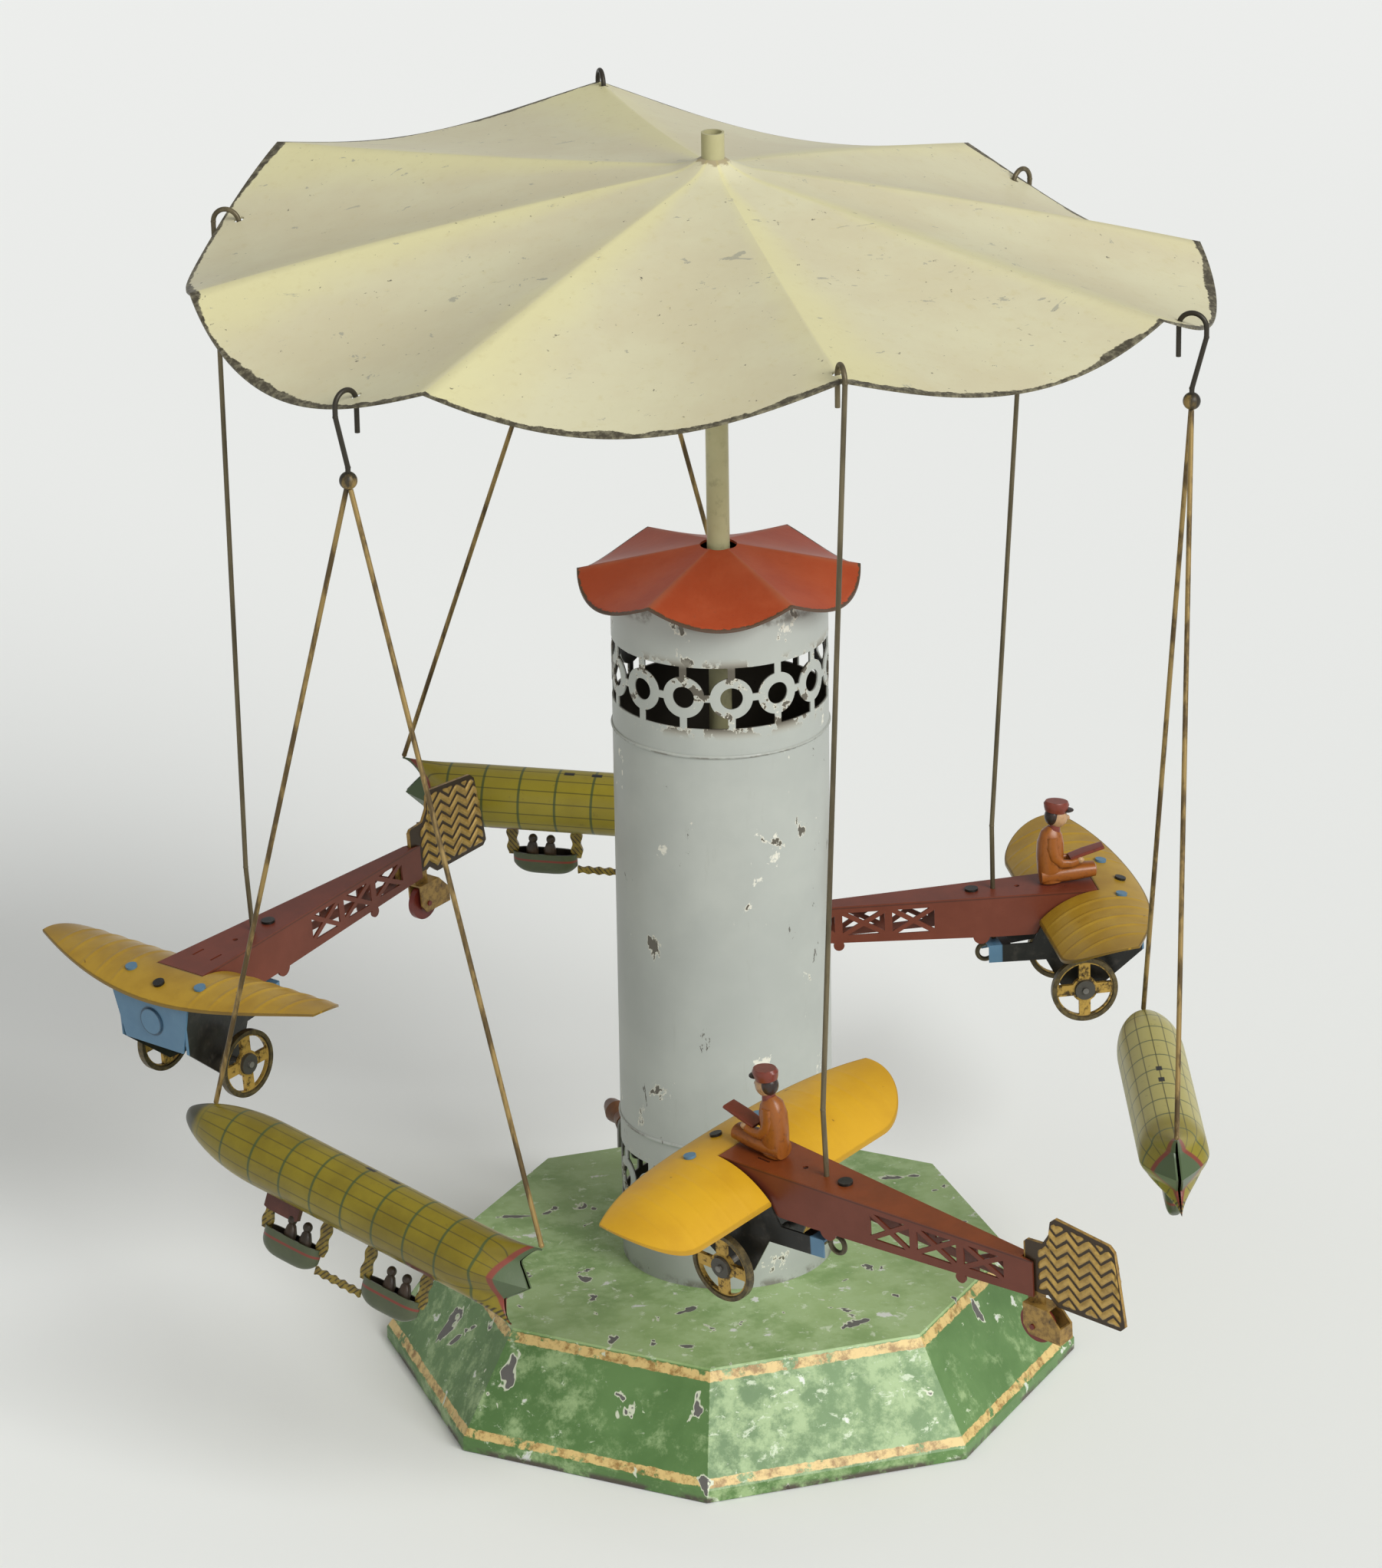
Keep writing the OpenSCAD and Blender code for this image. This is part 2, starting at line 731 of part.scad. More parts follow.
module stern_wire(k) {
    blob = blob_point(k);
    end = stern_eye(k);
    reach = end - blob;
    color(wire_brown)
        at_airship(k) {
            rod(blob + reach * (blob_r + touch) / norm(reach), end, wire_r);
            translate(end)
                sphere(bend_r);
        }
}

// Monoplane: X to the nose, Z up, the wire through the top of the fuselage at the origin

taper = (nose_half_w - tail_half_w) / (nose_len + tail_len);
taper_angle = atan(taper);
tail_x = -tail_len;
tongue_x = tail_x - 4;
brace_x = -19;
brace_len = 12.6;
brace_gap = 2.3;
brace_w = 1.4;
brace_edge = 2.2;
brace_bays = 3;
plane_wire_hole_r = wire_r + running_gap;
slit_x = 19;
slit_y = 3.5;

// Depth of the fuselage's side at a place along it
function side_depth(x) = side_h - (side_h - tail_h) * max(0, -x) / tail_len;

// One bay of the lattice: a rectangle crossed by two diagonal bars
module brace_bay(x) {
    h = side_depth(x - brace_len) - 2 * brace_edge;
    lean = atan(h / brace_len);
    translate([x - brace_len / 2, -brace_edge - h / 2])
        difference() {
            square([brace_len, h], center = true);
            for (turn = [-lean, lean])
                rotate(turn)
                    square([2 * brace_len, brace_w], center = true);
        }
}

module fuselage_side() {
    lug_r = 2.5;
    hook_lug_r = 1.6;
    lug_x = -5;
    rear_lug_x = brace_x - 2 * (brace_len + brace_gap) + brace_gap / 2;
    difference() {
        union() {
            polygon([[nose_len, 0], [nose_len - 19, -side_h], [0, -side_h], [tongue_x, -tail_h],
                [tongue_x, -toy_tin], [tail_x, 0]]);
            translate([lug_x, -side_h + 0.5])
                circle(lug_r);
            translate([rear_lug_x, -side_depth(rear_lug_x) - 1])
                circle(hook_lug_r);
        }
        for (b = [0 : brace_bays - 1])
            brace_bay(brace_x - b * (brace_len + brace_gap));
    }
}

module fuselage(k) {
    color(body_red)
        at_plane(k)
            difference() {
                union() {
                    translate([0, 0, -toy_tin])
                        linear_extrude(height = toy_tin)
                            polygon([[nose_len, nose_half_w], [nose_len, -nose_half_w],
                                [tail_x, -tail_half_w], [tail_x, tail_half_w]]);
                    for (side = [-1, 1])
                        translate([nose_len, side * (nose_half_w - toy_tin / 2), 0])
                            rotate([0, 0, side * taper_angle])
                                translate([-nose_len, 0, 0])
                                    upright(toy_tin)
                                        fuselage_side();
                }
                bore(plane_wire_hole_r, -toy_tin - past, past);
                translate([7.3, 0, 0])
                    bore(0.8, -toy_tin - past, past);
                for (side = [-1, 1])
                    translate([slit_x, side * slit_y, 0])
                        cube([4.5, 0.7, 4 * toy_tin], center = true);
            }
}

module wing_plan() {
    tip_y = half_span - wing_tip_r;
    notch = nose_half_w + 0.2;
    difference() {
        intersection() {
            union() {
                for (side = [-1, 1])
                    translate([trailing_x + wing_tip_r, side * tip_y])
                        circle(wing_tip_r);
                translate([trailing_x, -tip_y])
                    square([wing_tip_r, 2 * tip_y]);
                translate([trailing_x + wing_tip_r - past, -half_span])
                    square([leading_x - trailing_x, 2 * half_span]);
            }
            translate([leading_x - leading_r, 0])
                circle(leading_r, $fn = 180);
            translate([trailing_x + wing_tip_r, -tip_y])
                wing_front();
        }
        translate([trailing_x - past, -notch])
            square([nose_len + 0.2 - trailing_x + past, 2 * notch]);
    }
}

// Round front corners of the wing, wider than its tips
module wing_front() {
    tip_y = half_span - wing_tip_r;
    union() {
        translate([-wing_tip_r - past, 0])
            square([4 * wing_tip_r, 2 * tip_y]);
        for (y = [0, 2 * tip_y])
            translate([0, y])
                circle(wing_tip_r);
    }
}

module wing(k) {
    color(wing_yellow)
        at_plane(k)
            intersection() {
                upright(2 * half_span + 2 * past)
                    translate([wing_crest_x, -wing_arc_r])
                        difference() {
                            circle(wing_arc_r, $fn = 120);
                            circle(wing_arc_r - toy_tin, $fn = 120);
                        }
                translate([0, 0, -wing_arc_r])
                    linear_extrude(height = 2 * wing_arc_r)
                        wing_plan();
            }
}

// Undercarriage: two side plates that draw together to the rear, a front plate and a strap for the wire
frame_gap = 0.3;
plate_y = 9.8;
plate_spread = 0.16;
frame_front_x = leading_x - 2.4;
frame_rear_x = -3;
frame_low_z = -(axle_drop + 3.3);
front_low_z = -18.5;

// Height of the frame's top edge, just under the wing
function under_wing(x) = -wing_arc_r
    + sqrt(pow(wing_arc_r - toy_tin - frame_gap, 2) - pow(x - wing_crest_x, 2));

module frame_side() {
    knee = 14;
    front = frame_front_x + toy_tin;
    polygon(concat(
        [for (s = [0 : 8]) let (x = knee + (front - knee) * s / 8) [x, under_wing(x)]],
        [[front, front_low_z], [axle_x + 4.5, frame_low_z], [axle_x - 4.5, frame_low_z],
            [knee, strap_z - 5], [frame_rear_x, strap_z - 5.5], [frame_rear_x, strap_z],
            [knee - 4, strap_z + 0.5]]));
}

// A fold-over tab lying on the wing
module wing_tab(x, y) {
    translate([wing_crest_x, y, -wing_arc_r])
        rotate([0, asin((x - wing_crest_x) / wing_arc_r), 0])
            bore(1.7, wing_arc_r + touch, wing_arc_r + touch + 0.7);
}

module undercarriage(k) {
    boss_r = 4;
    top_half = 15;
    low_half = 11.3;
    strap_w = 11.2;
    color(frame_black)
        at_plane(k) {
            difference() {
                union() {
                    for (side = [-1, 1])
                        translate([axle_x, side * plate_y, 0])
                            rotate([0, 0, side * atan(plate_spread)])
                                translate([-axle_x, 0, 0])
                                    upright(toy_tin)
                                        frame_side();
                    translate([frame_front_x, 0, 0])
                        rotate([90, 0, 90])
                            linear_extrude(height = toy_tin)
                                polygon([[-top_half, under_wing(frame_front_x) - 0.2],
                                    [top_half, under_wing(frame_front_x) - 0.2],
                                    [low_half, front_low_z], [-low_half, front_low_z]]);
                    translate([frame_front_x, 0, -11])
                        rotate([0, 90, 0])
                            cylinder(h = 2 * toy_tin, r = boss_r);
                    translate([frame_rear_x, -strap_w / 2, strap_z - toy_tin])
                        cube([7, strap_w, toy_tin]);
                }
                bore(plane_wire_hole_r, strap_z - past, strap_z + past);
                translate([axle_x, 0, 0])
                    along_y(axle_r + running_gap, -wheel_half_track, wheel_half_track, -axle_drop);
            }
            for (y = [-13.6, 13.6])
                wing_tab(36, y);
            wing_tab(38.8, 0);
            translate([-6.5, 0, touch])
                bore(2, 0, 0.7);
        }
}

module axle(k) {
    reach = wheel_half_track + 2.2;
    color(plain_tin)
        at_plane(k)
            translate([axle_x, 0, 0])
                along_y(axle_r, -reach, reach, -axle_drop);
}

// A flat wheel with four broad spokes and a hub
module spoked_wheel() {
    web_r = 0.82 * wheel_r;
    boss_r = 0.39 * wheel_r;
    spoke_w = 0.34 * wheel_r;
    web_t = 1.2;
    rim_t = 2;
    hub_t = 3;
    difference() {
        union() {
            upright(web_t)
                difference() {
                    circle(wheel_r);
                    difference() {
                        circle(web_r);
                        circle(boss_r);
                        for (turn = [0, 90])
                            rotate(turn)
                                square([2 * wheel_r, spoke_w], center = true);
                    }
                }
            upright(rim_t)
                difference() {
                    circle(wheel_r);
                    circle(0.88 * wheel_r);
                }
            upright(hub_t)
                circle(0.3 * wheel_r);
        }
        upright(2 * hub_t)
            circle(axle_r);
    }
}

module wheels(k) {
    color(wheel_brass)
        at_plane(k)
            for (side = [-1, 1])
                translate([axle_x, side * wheel_half_track, -axle_drop])
                    spoked_wheel();
}

// Tail: an upright rudder held between the fuselage's sides, with a fork for the tail wheel
rudder_t = 0.9;
fork_x = tail_x - 4.1;
fork_drop = 19.1;
fork_half_w = 2.6;
fork_reach = 9;
fork_foot = 2.6;
fork_pin_r = 0.75;
fork_top_z = -fork_drop + tail_wheel_r + 0.5;

module rudder_outline() {
    rear = tail_x - 33;
    polygon([[tail_x + 6, -1.6], [tail_x - 0.4, -1.6], [tail_x - 0.4, 4.2], [tail_x - 1.4, 5.2],
        [tail_x - 6.6, 5.6], [tail_x - 8.8, 9], [tail_x - 9.4, 13], [tail_x - 11, 14.4],
        [rear + 4.5, 12.6], [rear + 2.8, 11],
        [rear, -10], [rear + 1.5, -11.5], [tail_x - 11, -11.8], [tail_x - 8, -9.2], [tail_x - 6.5, -10],
        [tail_x - 6.5, fork_top_z], [tail_x - 1.2, fork_top_z], [tail_x - 1.2, -9.8], [tail_x + 6, -9.8]]);
}

module fork_side() {
    polygon([[fork_x + 3, fork_top_z + toy_tin], [fork_x - 5, fork_top_z + toy_tin],
        [fork_x - fork_reach, -fork_drop + 2], [fork_x - fork_reach, -fork_drop - fork_foot],
        [fork_x + 1, -fork_drop - fork_foot], [fork_x + 3, -fork_drop]]);
}

module tail(k) {
    color(tail_gold)
        at_plane(k)
            difference() {
                union() {
                    upright(rudder_t)
                        rudder_outline();
                    translate([fork_x - 5, -fork_half_w, fork_top_z])
                        cube([8, 2 * fork_half_w, toy_tin]);
                    for (side = [-1, 1])
                        translate([0, side * (fork_half_w - toy_tin / 2), 0])
                            upright(toy_tin)
                                fork_side();
                    translate([fork_x - fork_reach, -fork_half_w, -fork_drop - fork_foot])
                        cube([toy_tin, 2 * fork_half_w, fork_foot + 2]);
                }
                translate([fork_x, 0, 0])
                    along_y(fork_pin_r + running_gap, -2 * fork_half_w, 2 * fork_half_w, -fork_drop);
            }
}

module tail_wheel(k) {
    color(roof_red)
        at_plane(k)
            translate([fork_x, 0, 0]) {
                along_y(tail_wheel_r, -tail_wheel_w / 2, tail_wheel_w / 2, -fork_drop);
                along_y(fork_pin_r, -fork_half_w - 0.4, fork_half_w + 0.4, -fork_drop);
            }
}

// Seated pilot in a peaked cap, holding a chart board
module pilot(k) {
    seat_x = 14;
    body_w = 6.4;
    head_w = 5;
    color(pilot_orange)
        at_plane(k)
            translate([seat_x, 0, touch]) {
                upright(body_w) {
                    polygon([[0.4, 0], [-0.8, 9], [-0.3, 14.5], [2, 17.5], [6, 17.6], [8.2, 14.5],
                        [8.6, 9.5], [12, 6.5], [17.6, 5.6], [17.6, 1.6], [15.5, 0]]);
                    translate([11.5, 5.4])
                        circle(1.8);
                }
                upright(body_w - 1)
                    polygon([[9.5, 7.2], [19.4, 10.4], [20, 9.2], [19.2, 7.4], [12, 5]]);
                upright(head_w) {
                    translate([6, 20.2])
                        circle(3.5);
                    polygon([[3.6, 17], [8, 17], [7.6, 20], [3.8, 20]]);
                }
                upright(head_w + 0.8)
                    polygon([[2, 22.4], [2.2, 25.4], [9, 26.2], [9.4, 23.6], [11, 22.8], [10.6, 22.2]]);
            }
}

// Airship: X to the bow, Z up, the hull's axis through the origin

hull_tin = 0.5;
seam_gap = 0.02;
end_half_w = 0.9;
stern_x = -0.49 * hull_len;
bow_x = stern_x + hull_len;
bow_start = 1 - bow_share;
bow_power = 0.75;

// Half width and half height at a share of the length from the stern
function bow_rounding(s) = pow(max(0, 1 - pow(max(0, s - bow_start) / bow_share, 2)), bow_power);
function hull_half_w(s) = end_half_w + (hull_r - end_half_w) * min(1, sin(min(90, 90 * s / stern_share)))
    * bow_rounding(s);
function stern_flare(s) = (stern_half_h - hull_r) * pow(max(0, 1 - s / stern_share), 2);
function hull_half_h(s) = bow_half_h + (hull_r - bow_half_h) * bow_rounding(s) + stern_flare(s);
// Zigzag of the pinched stern: corners at top and bottom, a point in the middle and two notches
function stern_notch(t) = lookup(abs(t), [[0, -1], [30, 5], [90, 0]]) + 1.5 * (1 - sin(t));
function hull_point(s, t, inset) = let (end = stern_x + stern_notch(t))
    [end + (bow_x - end) * s,
        seam_gap + (hull_half_w(s) - inset) * cos(t),
        (hull_half_h(s) - inset) * sin(t)];
// A point on the hull's middle plane, rolled and pitched as the airship hangs
function tipped(x, z, k) = let (pitch = toy_pitches[k], roll = toy_rolls[k])
    [x * cos(pitch) - z * cos(roll) * sin(pitch),
        -z * sin(roll),
        x * sin(pitch) + z * cos(roll) * cos(pitch)];

// Ends of the bridle's legs, just clear of the hull
bow_eye_s = 1 - 8 / hull_len;
bow_eye_gap = 0.35;
stern_eye_gap = 0.15;
stern_eye_inset = 0.6;
function bow_eye(k) = tipped(stern_x + hull_len * bow_eye_s, hull_half_h(bow_eye_s) + bow_eye_gap, k);
function stern_eye(k) = tipped(stern_x + stern_eye_inset, stern_half_h + wire_r + stern_eye_gap, k);

// Port half of the hull, open along its seam
module half_hull() {
    nx = 20;
    nt = 12;
    shares = [for (i = [0 : nx]) (1 - cos(180 * i / nx)) / 2];
    outer = [for (s = shares, j = [0 : nt]) hull_point(s, -90 + 180 * j / nt, 0)];
    inner = [for (s = shares, j = [0 : nt]) hull_point(s, -90 + 180 * j / nt, hull_tin)];
    n = len(outer);
    at = function(i, j) i * (nt + 1) + j;
    skin = [for (i = [0 : nx - 1], j = [0 : nt - 1])
        each patch(at(i, j), at(i + 1, j), at(i + 1, j + 1), at(i, j + 1))];
    lining = [for (f = skin) [n + f[0], n + f[2], n + f[1]]];
    keel = [for (i = [0 : nx - 1])
        each patch(at(i, 0), n + at(i, 0), n + at(i + 1, 0), at(i + 1, 0))];
    crest = [for (i = [0 : nx - 1])
        each patch(at(i, nt), at(i + 1, nt), n + at(i + 1, nt), n + at(i, nt))];
    stern = [for (j = [0 : nt - 1])
        each patch(at(0, j), at(0, j + 1), n + at(0, j + 1), n + at(0, j))];
    bow = [for (j = [0 : nt - 1])
        each patch(at(nx, j), n + at(nx, j), n + at(nx, j + 1), at(nx, j + 1))];
    polyhedron(concat(outer, inner), concat(skin, lining, keel, crest, stern, bow));
}

module at_hull(k) {
    at_airship(k)
        rotate([toy_rolls[k], -toy_pitches[k], 0])
            children();
}

module port_hull(k) {
    color(hull_olive)
        at_hull(k)
            half_hull();
}

module starboard_hull(k) {
    color(hull_olive)
        at_hull(k)
            mirror([0, 1, 0])
                half_hull();
}

// Gondola: two boats on struts below the hull, joined by a walkway, with their crews
module boat_profile() {
    polygon([[-boat_len / 2, 0.4], [boat_len / 2, 0.4], [boat_len / 2 - 0.8, -boat_h * 0.7],
        [boat_len / 2 - 2.6, -boat_h], [3 - boat_len / 2, -boat_h], [1 - boat_len / 2, -boat_h * 0.6]]);
}

module crew() {
    for (x = [-4, 1.5]) {
        translate([x, 4.6])
            circle(1.5);
        polygon([[x - 2.2, 0], [x + 2.2, 0], [x + 1, 3.6], [x - 1, 3.6]]);
    }
}

module gondola(k) {
    strap_t = 1.2;
    walk_h = 2;
    strut_w = 3.4;
    top_z = -hull_r - 0.1;
    color(boat_green)
        at_hull(k) {
            for (x = [-boat_half_gap, boat_half_gap])
                translate([x, 0, -boat_drop])
                    upright(boat_w)
                        boat_profile();
            upright(strap_t) {
                for (x = [-boat_half_gap, boat_half_gap])
                    translate([x, -boat_drop]) {
                        crew();
                        for (end = [-1, 1])
                            translate([end * (boat_len / 2) - strut_w / 2, -1])
                                square([strut_w, boat_drop + 1 + top_z]);
                    }
                translate([-boat_half_gap, -boat_drop - boat_h + 0.8])
                    square([2 * boat_half_gap, walk_h]);
            }
        }
}

base_shell();
base_plate();
foot_bearing();
column_tube();
upper_bearing();
column_roof();
crank_bracket();
crank_shaft();
crank_pinion();
crank_arm();
crank_knob();
spindle();
crown_wheel();
canopy_collar();
canopy();
for (k = planes) {
    plane_wire(k);
    fuselage(k);
    wing(k);
    undercarriage(k);
    tail(k);
    axle(k);
    wheels(k);
    tail_wheel(k);
}
for (k = piloted)
    pilot(k);
for (k = airships) {
    bow_wire(k);
    stern_wire(k);
    port_hull(k);
    starboard_hull(k);
    gondola(k);
}
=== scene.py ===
"""Looks of a tinplate flying carousel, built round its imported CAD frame.

Shapes are worked out in millimetres in a piece's own frame, and each mesh is placed in metres.
"""
import json
import math

import bmesh
import bpy
import numpy as np
from mathutils import Matrix, Vector


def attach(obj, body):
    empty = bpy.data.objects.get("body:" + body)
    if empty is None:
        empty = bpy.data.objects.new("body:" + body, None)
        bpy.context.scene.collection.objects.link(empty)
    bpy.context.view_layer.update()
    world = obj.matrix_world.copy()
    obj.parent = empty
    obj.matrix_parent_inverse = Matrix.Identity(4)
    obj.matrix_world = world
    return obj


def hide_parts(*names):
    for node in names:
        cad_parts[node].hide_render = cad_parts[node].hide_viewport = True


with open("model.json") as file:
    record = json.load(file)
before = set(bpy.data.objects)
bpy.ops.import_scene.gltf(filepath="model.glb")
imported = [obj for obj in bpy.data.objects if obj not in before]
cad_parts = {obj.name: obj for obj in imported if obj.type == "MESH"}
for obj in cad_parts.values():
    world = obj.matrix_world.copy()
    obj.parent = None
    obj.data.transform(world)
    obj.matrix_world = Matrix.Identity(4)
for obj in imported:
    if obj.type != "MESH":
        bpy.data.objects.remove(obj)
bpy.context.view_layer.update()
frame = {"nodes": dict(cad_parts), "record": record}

MM = 0.001
JOINTS = {j["name"]: j for j in frame["record"]["behaviour"]["joints"]}


# Meshes from grids of points

def grid_faces(nu, nv, wrap=False):
    """Quads between neighbours on an nu by nv grid; with wrap the last row joins the first."""
    i, j = np.meshgrid(np.arange(nu if wrap else nu - 1), np.arange(nv - 1), indexing="ij")
    k = (i + 1) % nu
    return np.stack([i * nv + j, k * nv + j, k * nv + j + 1, i * nv + j + 1], -1).reshape(-1, 4)


def shell(outer, inner, wrap=False):
    """Points and faces of a closed sheet: two grids of the same size, joined along their borders."""
    nu, nv = outer.shape[:2]
    n = nu * nv
    skin = grid_faces(nu, nv, wrap)
    i = np.arange(nu if wrap else nu - 1)
    k = (i + 1) % nu
    low = np.stack([i * nv, i * nv + n, k * nv + n, k * nv], -1)
    high = np.stack([k * nv, k * nv + n, i * nv + n, i * nv], -1) + nv - 1
    faces = [skin, skin[:, ::-1] + n, low, high]
    if not wrap:
        j = np.arange(nv - 1)
        side = np.stack([j + 1, j + 1 + n, j + n, j], -1)
        faces += [side, side[:, ::-1] + (nu - 1) * nv]
    return np.concatenate([outer.reshape(-1, 3), inner.reshape(-1, 3)]), np.concatenate(faces)


def join(parts):
    """One set of points and faces from several."""
    starts = np.cumsum([0] + [len(p) for p, f in parts])
    return np.concatenate([p for p, f in parts]), np.concatenate([f + s for (p, f), s in zip(parts, starts)])


MARK_KINDS = {1: ("FLOAT", "value"), 3: ("FLOAT_VECTOR", "vector"), 4: ("FLOAT_COLOR", "color")}


def piece(name, local, faces, place, material, body, slot, replaces=(), sharp=40, **marks):
    """A mesh from points in a local frame, which stay as the attribute 'paint', beside any other marks."""
    used, faces = np.unique(faces, return_inverse=True)
    marks = {mark: values.reshape(len(local), -1)[used] for mark, values in {"paint": local, **marks}.items()}
    at = np.concatenate([local[used], np.ones((len(used), 1))], 1) @ np.array(place).T
    mesh = bpy.data.meshes.new(name)
    mesh.from_pydata((at[:, :3] * MM).tolist(), [], faces.reshape(-1, 4).tolist())
    for mark, values in marks.items():
        kind, key = MARK_KINDS[values.shape[1]]
        mesh.attributes.new(mark, kind, "POINT").data.foreach_set(key, values.astype(np.float32).ravel())
    closed = bmesh.new()
    closed.from_mesh(mesh)
    bmesh.ops.remove_doubles(closed, verts=closed.verts, dist=1e-7)
    closed.to_mesh(mesh)
    closed.free()
    mesh.shade_smooth()
    mesh.set_sharp_from_angle(angle=math.radians(sharp))
    mesh.materials.append(material)
    made = bpy.data.objects.new(name, mesh)
    bpy.context.scene.collection.objects.link(made)
    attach(made, body)
    if replaces:
        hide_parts(*replaces)


# Node materials

def srgb(r, g, b):
    """Linear colour of 8-bit screen values."""
    c = np.array([r, g, b]) / 255
    return tuple(np.where(c <= 0.04045, c / 12.92, ((c + 0.055) / 1.055) ** 2.4).tolist()) + (1.0,)


class Paint:
    """A node material. Each method adds nodes and returns an output socket."""

    def __init__(self, name):
        self.mat = bpy.data.materials.new(name)
        self.mat.use_nodes = True
        self.tree = self.mat.node_tree
        self.bsdf = self.tree.nodes["Principled BSDF"]

    def link(self, value, socket):
        if isinstance(value, bpy.types.NodeSocket):
            self.tree.links.new(value, socket)
        else:
            socket.default_value = value

    def node(self, kind, inputs=None, out=0, **settings):
        made = self.tree.nodes.new(kind)
        for key, value in settings.items():
            setattr(made, key, value)
        for key, value in (inputs or {}).items():
            self.link(value, made.inputs[key])
        return made.outputs[out]

    def math(self, op, a, b=0.0):
        return self.node("ShaderNodeMath", {0: a, 1: b}, operation=op)

    def add(self, a, b):
        return self.math("ADD", a, b)

    def times(self, a, b):
        return self.math("MULTIPLY", a, b)

    def either(self, a, b):
        return self.math("MAXIMUM", a, b)

    def step(self, v, lo, hi):
        """0 at lo and 1 at hi, smooth between; lo may be the larger."""
        return self.node("ShaderNodeMapRange", {"Value": v, "From Min": lo, "From Max": hi},
                         interpolation_type="SMOOTHSTEP")

    def band(self, v, lo, hi, soft):
        """1 between lo and hi, and 0 outside."""
        return self.times(self.step(v, lo - soft, lo + soft), self.step(v, hi + soft, hi - soft))

    def bands(self, v, spans, soft):
        """1 inside either of two spans, and 0 outside."""
        return self.either(*(self.band(v, lo, hi, soft) for lo, hi in spans))

    def stripes(self, v, period, width, soft, start=0.0):
        """1 on stripes of a width, one for each period."""
        share = self.math("FRACT", self.add(self.math("DIVIDE", self.add(v, -start), period), 0.5))
        return self.band(share, 0.5 - width / period / 2, 0.5 + width / period / 2, soft / period)

    def mix(self, f, a, b):
        return self.node("ShaderNodeMix", {0: f, 6: a, 7: b}, out=2, data_type="RGBA")

    def tones(self, f, a, b):
        """From colour a to colour b, given as screen values."""
        return self.mix(f, srgb(*a), srgb(*b))

    def over(self, f, colour, tone):
        """A tone laid over a colour where f is 1."""
        return self.mix(f, colour, srgb(*tone))

    def noise(self, vec, scale, detail=4.0, rough=0.6, distort=0.0):
        return self.node("ShaderNodeTexNoise", {"Vector": vec, "Scale": scale, "Detail": detail,
                                                "Roughness": rough, "Distortion": distort})

    def xyz(self, vec):
        made = self.tree.nodes.new("ShaderNodeSeparateXYZ")
        self.link(vec, made.inputs[0])
        return made.outputs[0], made.outputs[1], made.outputs[2]

    def object(self):
        return self.node("ShaderNodeTexCoord", out=3)

    def mark(self, name, out=1):
        """An attribute of the mesh: output 0 is a colour, 1 a vector and 2 a number."""
        return self.node("ShaderNodeAttribute", attribute_name=name, out=out)

    def stretch(self, vec, x, y, z):
        return self.node("ShaderNodeVectorMath", {0: vec, 1: (x, y, z)}, operation="MULTIPLY")

    def local(self, place):
        """Object coordinates as millimetres in the frame of a toy."""
        origin = tuple(place.translation)
        millimetres = self.stretch(self.object(), 1 / MM, 1 / MM, 1 / MM)
        level = self.node("ShaderNodeVectorRotate",
                          {"Vector": millimetres, "Center": origin,
                           "Rotation": tuple(place.inverted().to_euler())}, rotation_type="EULER_XYZ")
        return self.node("ShaderNodeVectorMath", {0: level, 1: origin}, operation="SUBTRACT")

    def round(self, a, b):
        """Distance from the origin in two directions."""
        return self.math("SQRT", self.add(self.times(a, a), self.times(b, b)))

    def bump(self, height, distance, strength=0.4):
        normal = self.node("ShaderNodeBump", {"Height": height, "Distance": distance, "Strength": strength})
        self.link(normal, self.bsdf.inputs["Normal"])

    def done(self, colour, rough=0.45, metal=0.0, coat=0.0, shine=0.3):
        """Sets the shader's own values and returns the material."""
        self.link(colour, self.bsdf.inputs["Base Color"])
        self.link(rough, self.bsdf.inputs["Roughness"])
        self.link(metal, self.bsdf.inputs["Metallic"])
        self.bsdf.inputs["Specular IOR Level"].default_value = shine
        self.bsdf.inputs["Coat Weight"].default_value = coat
        self.bsdf.inputs["Coat Roughness"].default_value = 0.3
        return self.mat

    def chipped(self, colour, vec, scale, level, tin, halo, width=0.02):
        """Paint with chips to the tin where a noise is over a level, edged by undercoat; and the chips."""
        spots = self.noise(vec, scale, 6.0, 0.62, 0.3)
        chip = self.step(spots, level, level + 0.012)
        edged = self.over(self.step(spots, level - width, level - width + 0.012), colour, halo)
        return self.over(chip, edged, tin), chip


# Places of the toys, in millimetres

def turned(degrees):
    """A turn round Z."""
    return Matrix.Rotation(math.radians(degrees), 4, "Z")


def plane_place(name):
    """A plane's frame: up along its swivel, left along its axle, and the nose ahead."""
    up = Vector(JOINTS[name + "_swivel"]["axis"])
    left = Vector(JOINTS[name + "_wheel_spin"]["axis"])
    axes = Matrix((left.cross(up), left, up)).transposed().to_4x4()
    return Matrix.Translation(Vector(JOINTS[name + "_swivel"]["pos_m"]) / MM) @ axes


# Heading, pitch and roll of each airship in degrees, and its middle from its hook: outwards, along and up
AIRSHIP_HANG = {
    "right_airship": (72.2, -3, -4.4, (-5.4, -2.1, -222.6)),
    "back_airship": (-30.1, -0.5, 8.1, (0.9, 4.2, -223.2)),
    "front_airship": (121.9, 8, 16, (2.8, -2.4, -224.1)),
}


